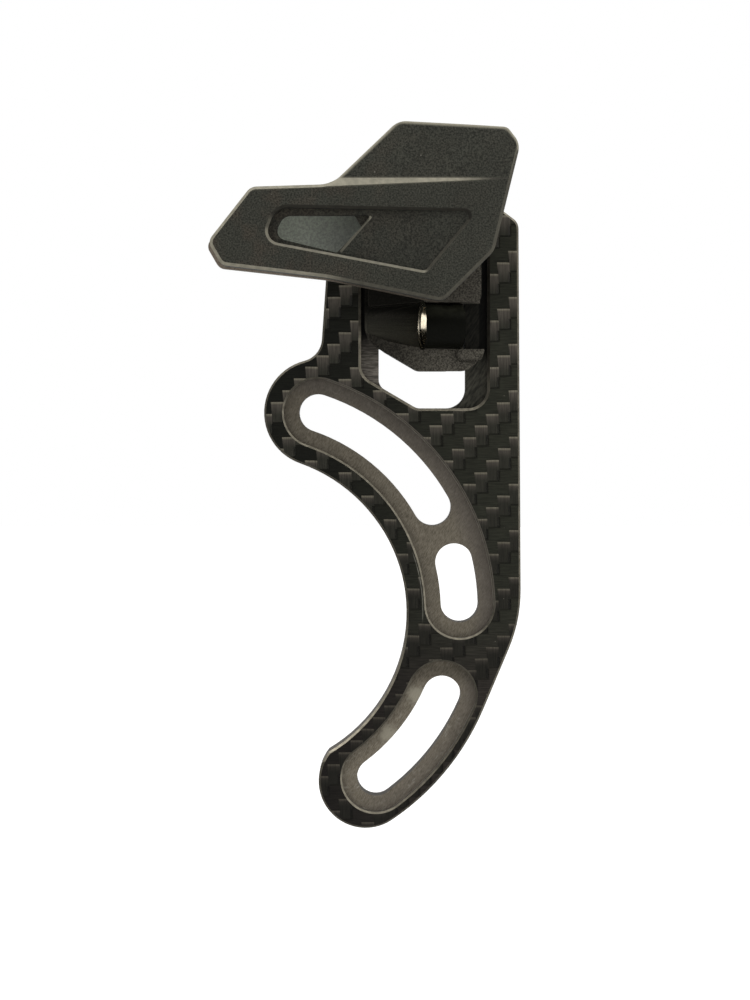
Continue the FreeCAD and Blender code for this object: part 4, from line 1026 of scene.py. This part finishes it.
def screw_tree():
    """Grows a flat-headed screw on each point, with its head at the point and its shank along -Y."""
    tree = bpy.data.node_groups.new("flat-headed screws", "GeometryNodeTree")
    tree.interface.new_socket(name="Geometry", in_out="INPUT", socket_type="NodeSocketGeometry")
    for label, size in SCREW_INPUTS.items():
        socket = tree.interface.new_socket(name=label, in_out="INPUT", socket_type="NodeSocketFloat")
        socket.default_value = size
    sides = tree.interface.new_socket(name="Sides", in_out="INPUT", socket_type="NodeSocketInt")
    sides.default_value = HEAD_SIDES
    tree.interface.new_socket(name="Material", in_out="INPUT", socket_type="NodeSocketMaterial")
    tree.interface.new_socket(name="Geometry", in_out="OUTPUT", socket_type="NodeSocketGeometry")
    v = {socket.name: Field(socket) for socket in new_node(tree, "NodeGroupInput").outputs}
    cone = make(tree, "GeometryNodeMeshCone", {
        "Vertices": v["Sides"], "Radius Top": v["Shank Radius"], "Radius Bottom": v["Head Radius"],
        "Depth": v["Head Radius"] - v["Shank Radius"]}, "Mesh")
    shank = make(tree, "GeometryNodeMeshCylinder", {
        "Vertices": v["Sides"], "Radius": v["Shank Radius"], "Depth": v["Length"] - 0.05 * MM}, "Mesh")
    shank = make(tree, "GeometryNodeTransform", {
        "Geometry": shank, "Translation": join(0.0, 0.0, v["Length"] * 0.5 + OVERLAP)})
    key = make(tree, "GeometryNodeMeshCylinder", {
        "Vertices": SOCKET_SIDES, "Radius": v["Socket Radius"], "Depth": v["Socket Depth"] * 2.0}, "Mesh")
    joined = new_node(tree, "GeometryNodeMeshBoolean", {"Mesh 2": cone}, operation="UNION", solver="EXACT")
    put(joined.inputs["Mesh 2"], shank)
    screw = make(tree, "GeometryNodeMeshBoolean", {"Mesh 1": Field(joined.outputs["Mesh"]), "Mesh 2": key},
                 "Mesh", operation="DIFFERENCE", solver="EXACT")
    laid = make(tree, "GeometryNodeTransform", {
        "Geometry": screw, "Rotation": (math.radians(90), 0.0, 0.0)})
    screws = make(tree, "GeometryNodeInstanceOnPoints", {"Points": v["Geometry"], "Instance": laid})
    screws = make(tree, "GeometryNodeRealizeInstances", {0: screws})
    screws = make(tree, "GeometryNodeSetMaterial", {"Geometry": screws, "Material": v["Material"]})
    new_node(tree, "NodeGroupOutput", {"Geometry": screws})
    print(tree.name, "has", len(tree.nodes), "nodes")
    return tree


flat_headed = screw_tree()

# %% Where the engineering model has its screws
def solids_of(node_name):
    """Lowest and highest corners of the separate solids of a node."""
    work = bmesh.new()
    work.from_mesh(nodes[node_name].data)
    bmesh.ops.remove_doubles(work, verts=work.verts, dist=MERGE_DISTANCE)
    left = set(work.verts)
    boxes = []
    while left:
        reached = [left.pop()]
        for vertex in reached:
            for edge in vertex.link_edges:
                other = edge.other_vert(vertex)
                if other in left:
                    left.remove(other)
                    reached.append(other)
        corners = [[pick(vertex.co[i] for vertex in reached) for i in range(3)] for pick in (min, max)]
        boxes.append(tuple(Vector(corner) for corner in corners))
    work.free()
    return sorted(boxes, key=lambda box: tuple(box[0]))


print("cage screws:", len(solids_of("cage_screws")), "keeper screws:", len(solids_of("keeper_screws")))

# %% Screws grown on their places
SCREWS = (  # node, body, width of the socket and radius of the shank in mm
    ("cage_screws", "cage", 2.0, 1.5), ("keeper_screws", "height_slider", 1.3, 1.0))


def grown(name, tree, places, values):
    """Object grown on places by the tree, made a plain mesh."""
    points = bpy.data.meshes.new(name)
    points.from_pydata(places, [], [])
    piece = linked(name, points)
    modifier = piece.modifiers.new("grow", "NODES")
    modifier.node_group = tree
    for item in tree.interface.items_tree:
        if item.in_out == "INPUT" and item.name in values:
            modifier[item.identifier] = values[item.name]
    piece.update_tag()
    smooth_but_for(finished_mesh(piece), 30.0)
    print(name, "has", len(piece.data.polygons), "faces on", len(places), "places")
    return piece


for node_name, body, socket_width, shank_radius in SCREWS:
    boxes = solids_of(node_name)
    heads = [(0.5 * (low.x + high.x), high.y, 0.5 * (low.z + high.z)) for low, high in boxes]
    low, high = boxes[0]
    screws = grown(node_name + "_grown", flat_headed, heads, {
        "Head Radius": 0.5 * (high.x - low.x), "Shank Radius": shank_radius * MM, "Length": high.y - low.y,
        "Socket Radius": 0.5 * socket_width * MM / math.cos(math.pi / SOCKET_SIDES),
        "Socket Depth": 0.8 * shank_radius * MM, "Sides": HEAD_SIDES, "Material": black_oxide})
    stands_for(screws, body, node_name)

# %% [markdown]
# ## Last step
# The size of the dressed guide is kept next to the size of the engineering model, so that the two can be
# compared.

# %% Sizes and finish
dressed_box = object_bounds()
boxes = {"cad": [list(corner) for corner in cad_box], "visual": [list(corner) for corner in dressed_box]}
print("dressed box in mm:", [[round(v / MM, 2) for v in corner] for corner in dressed_box])
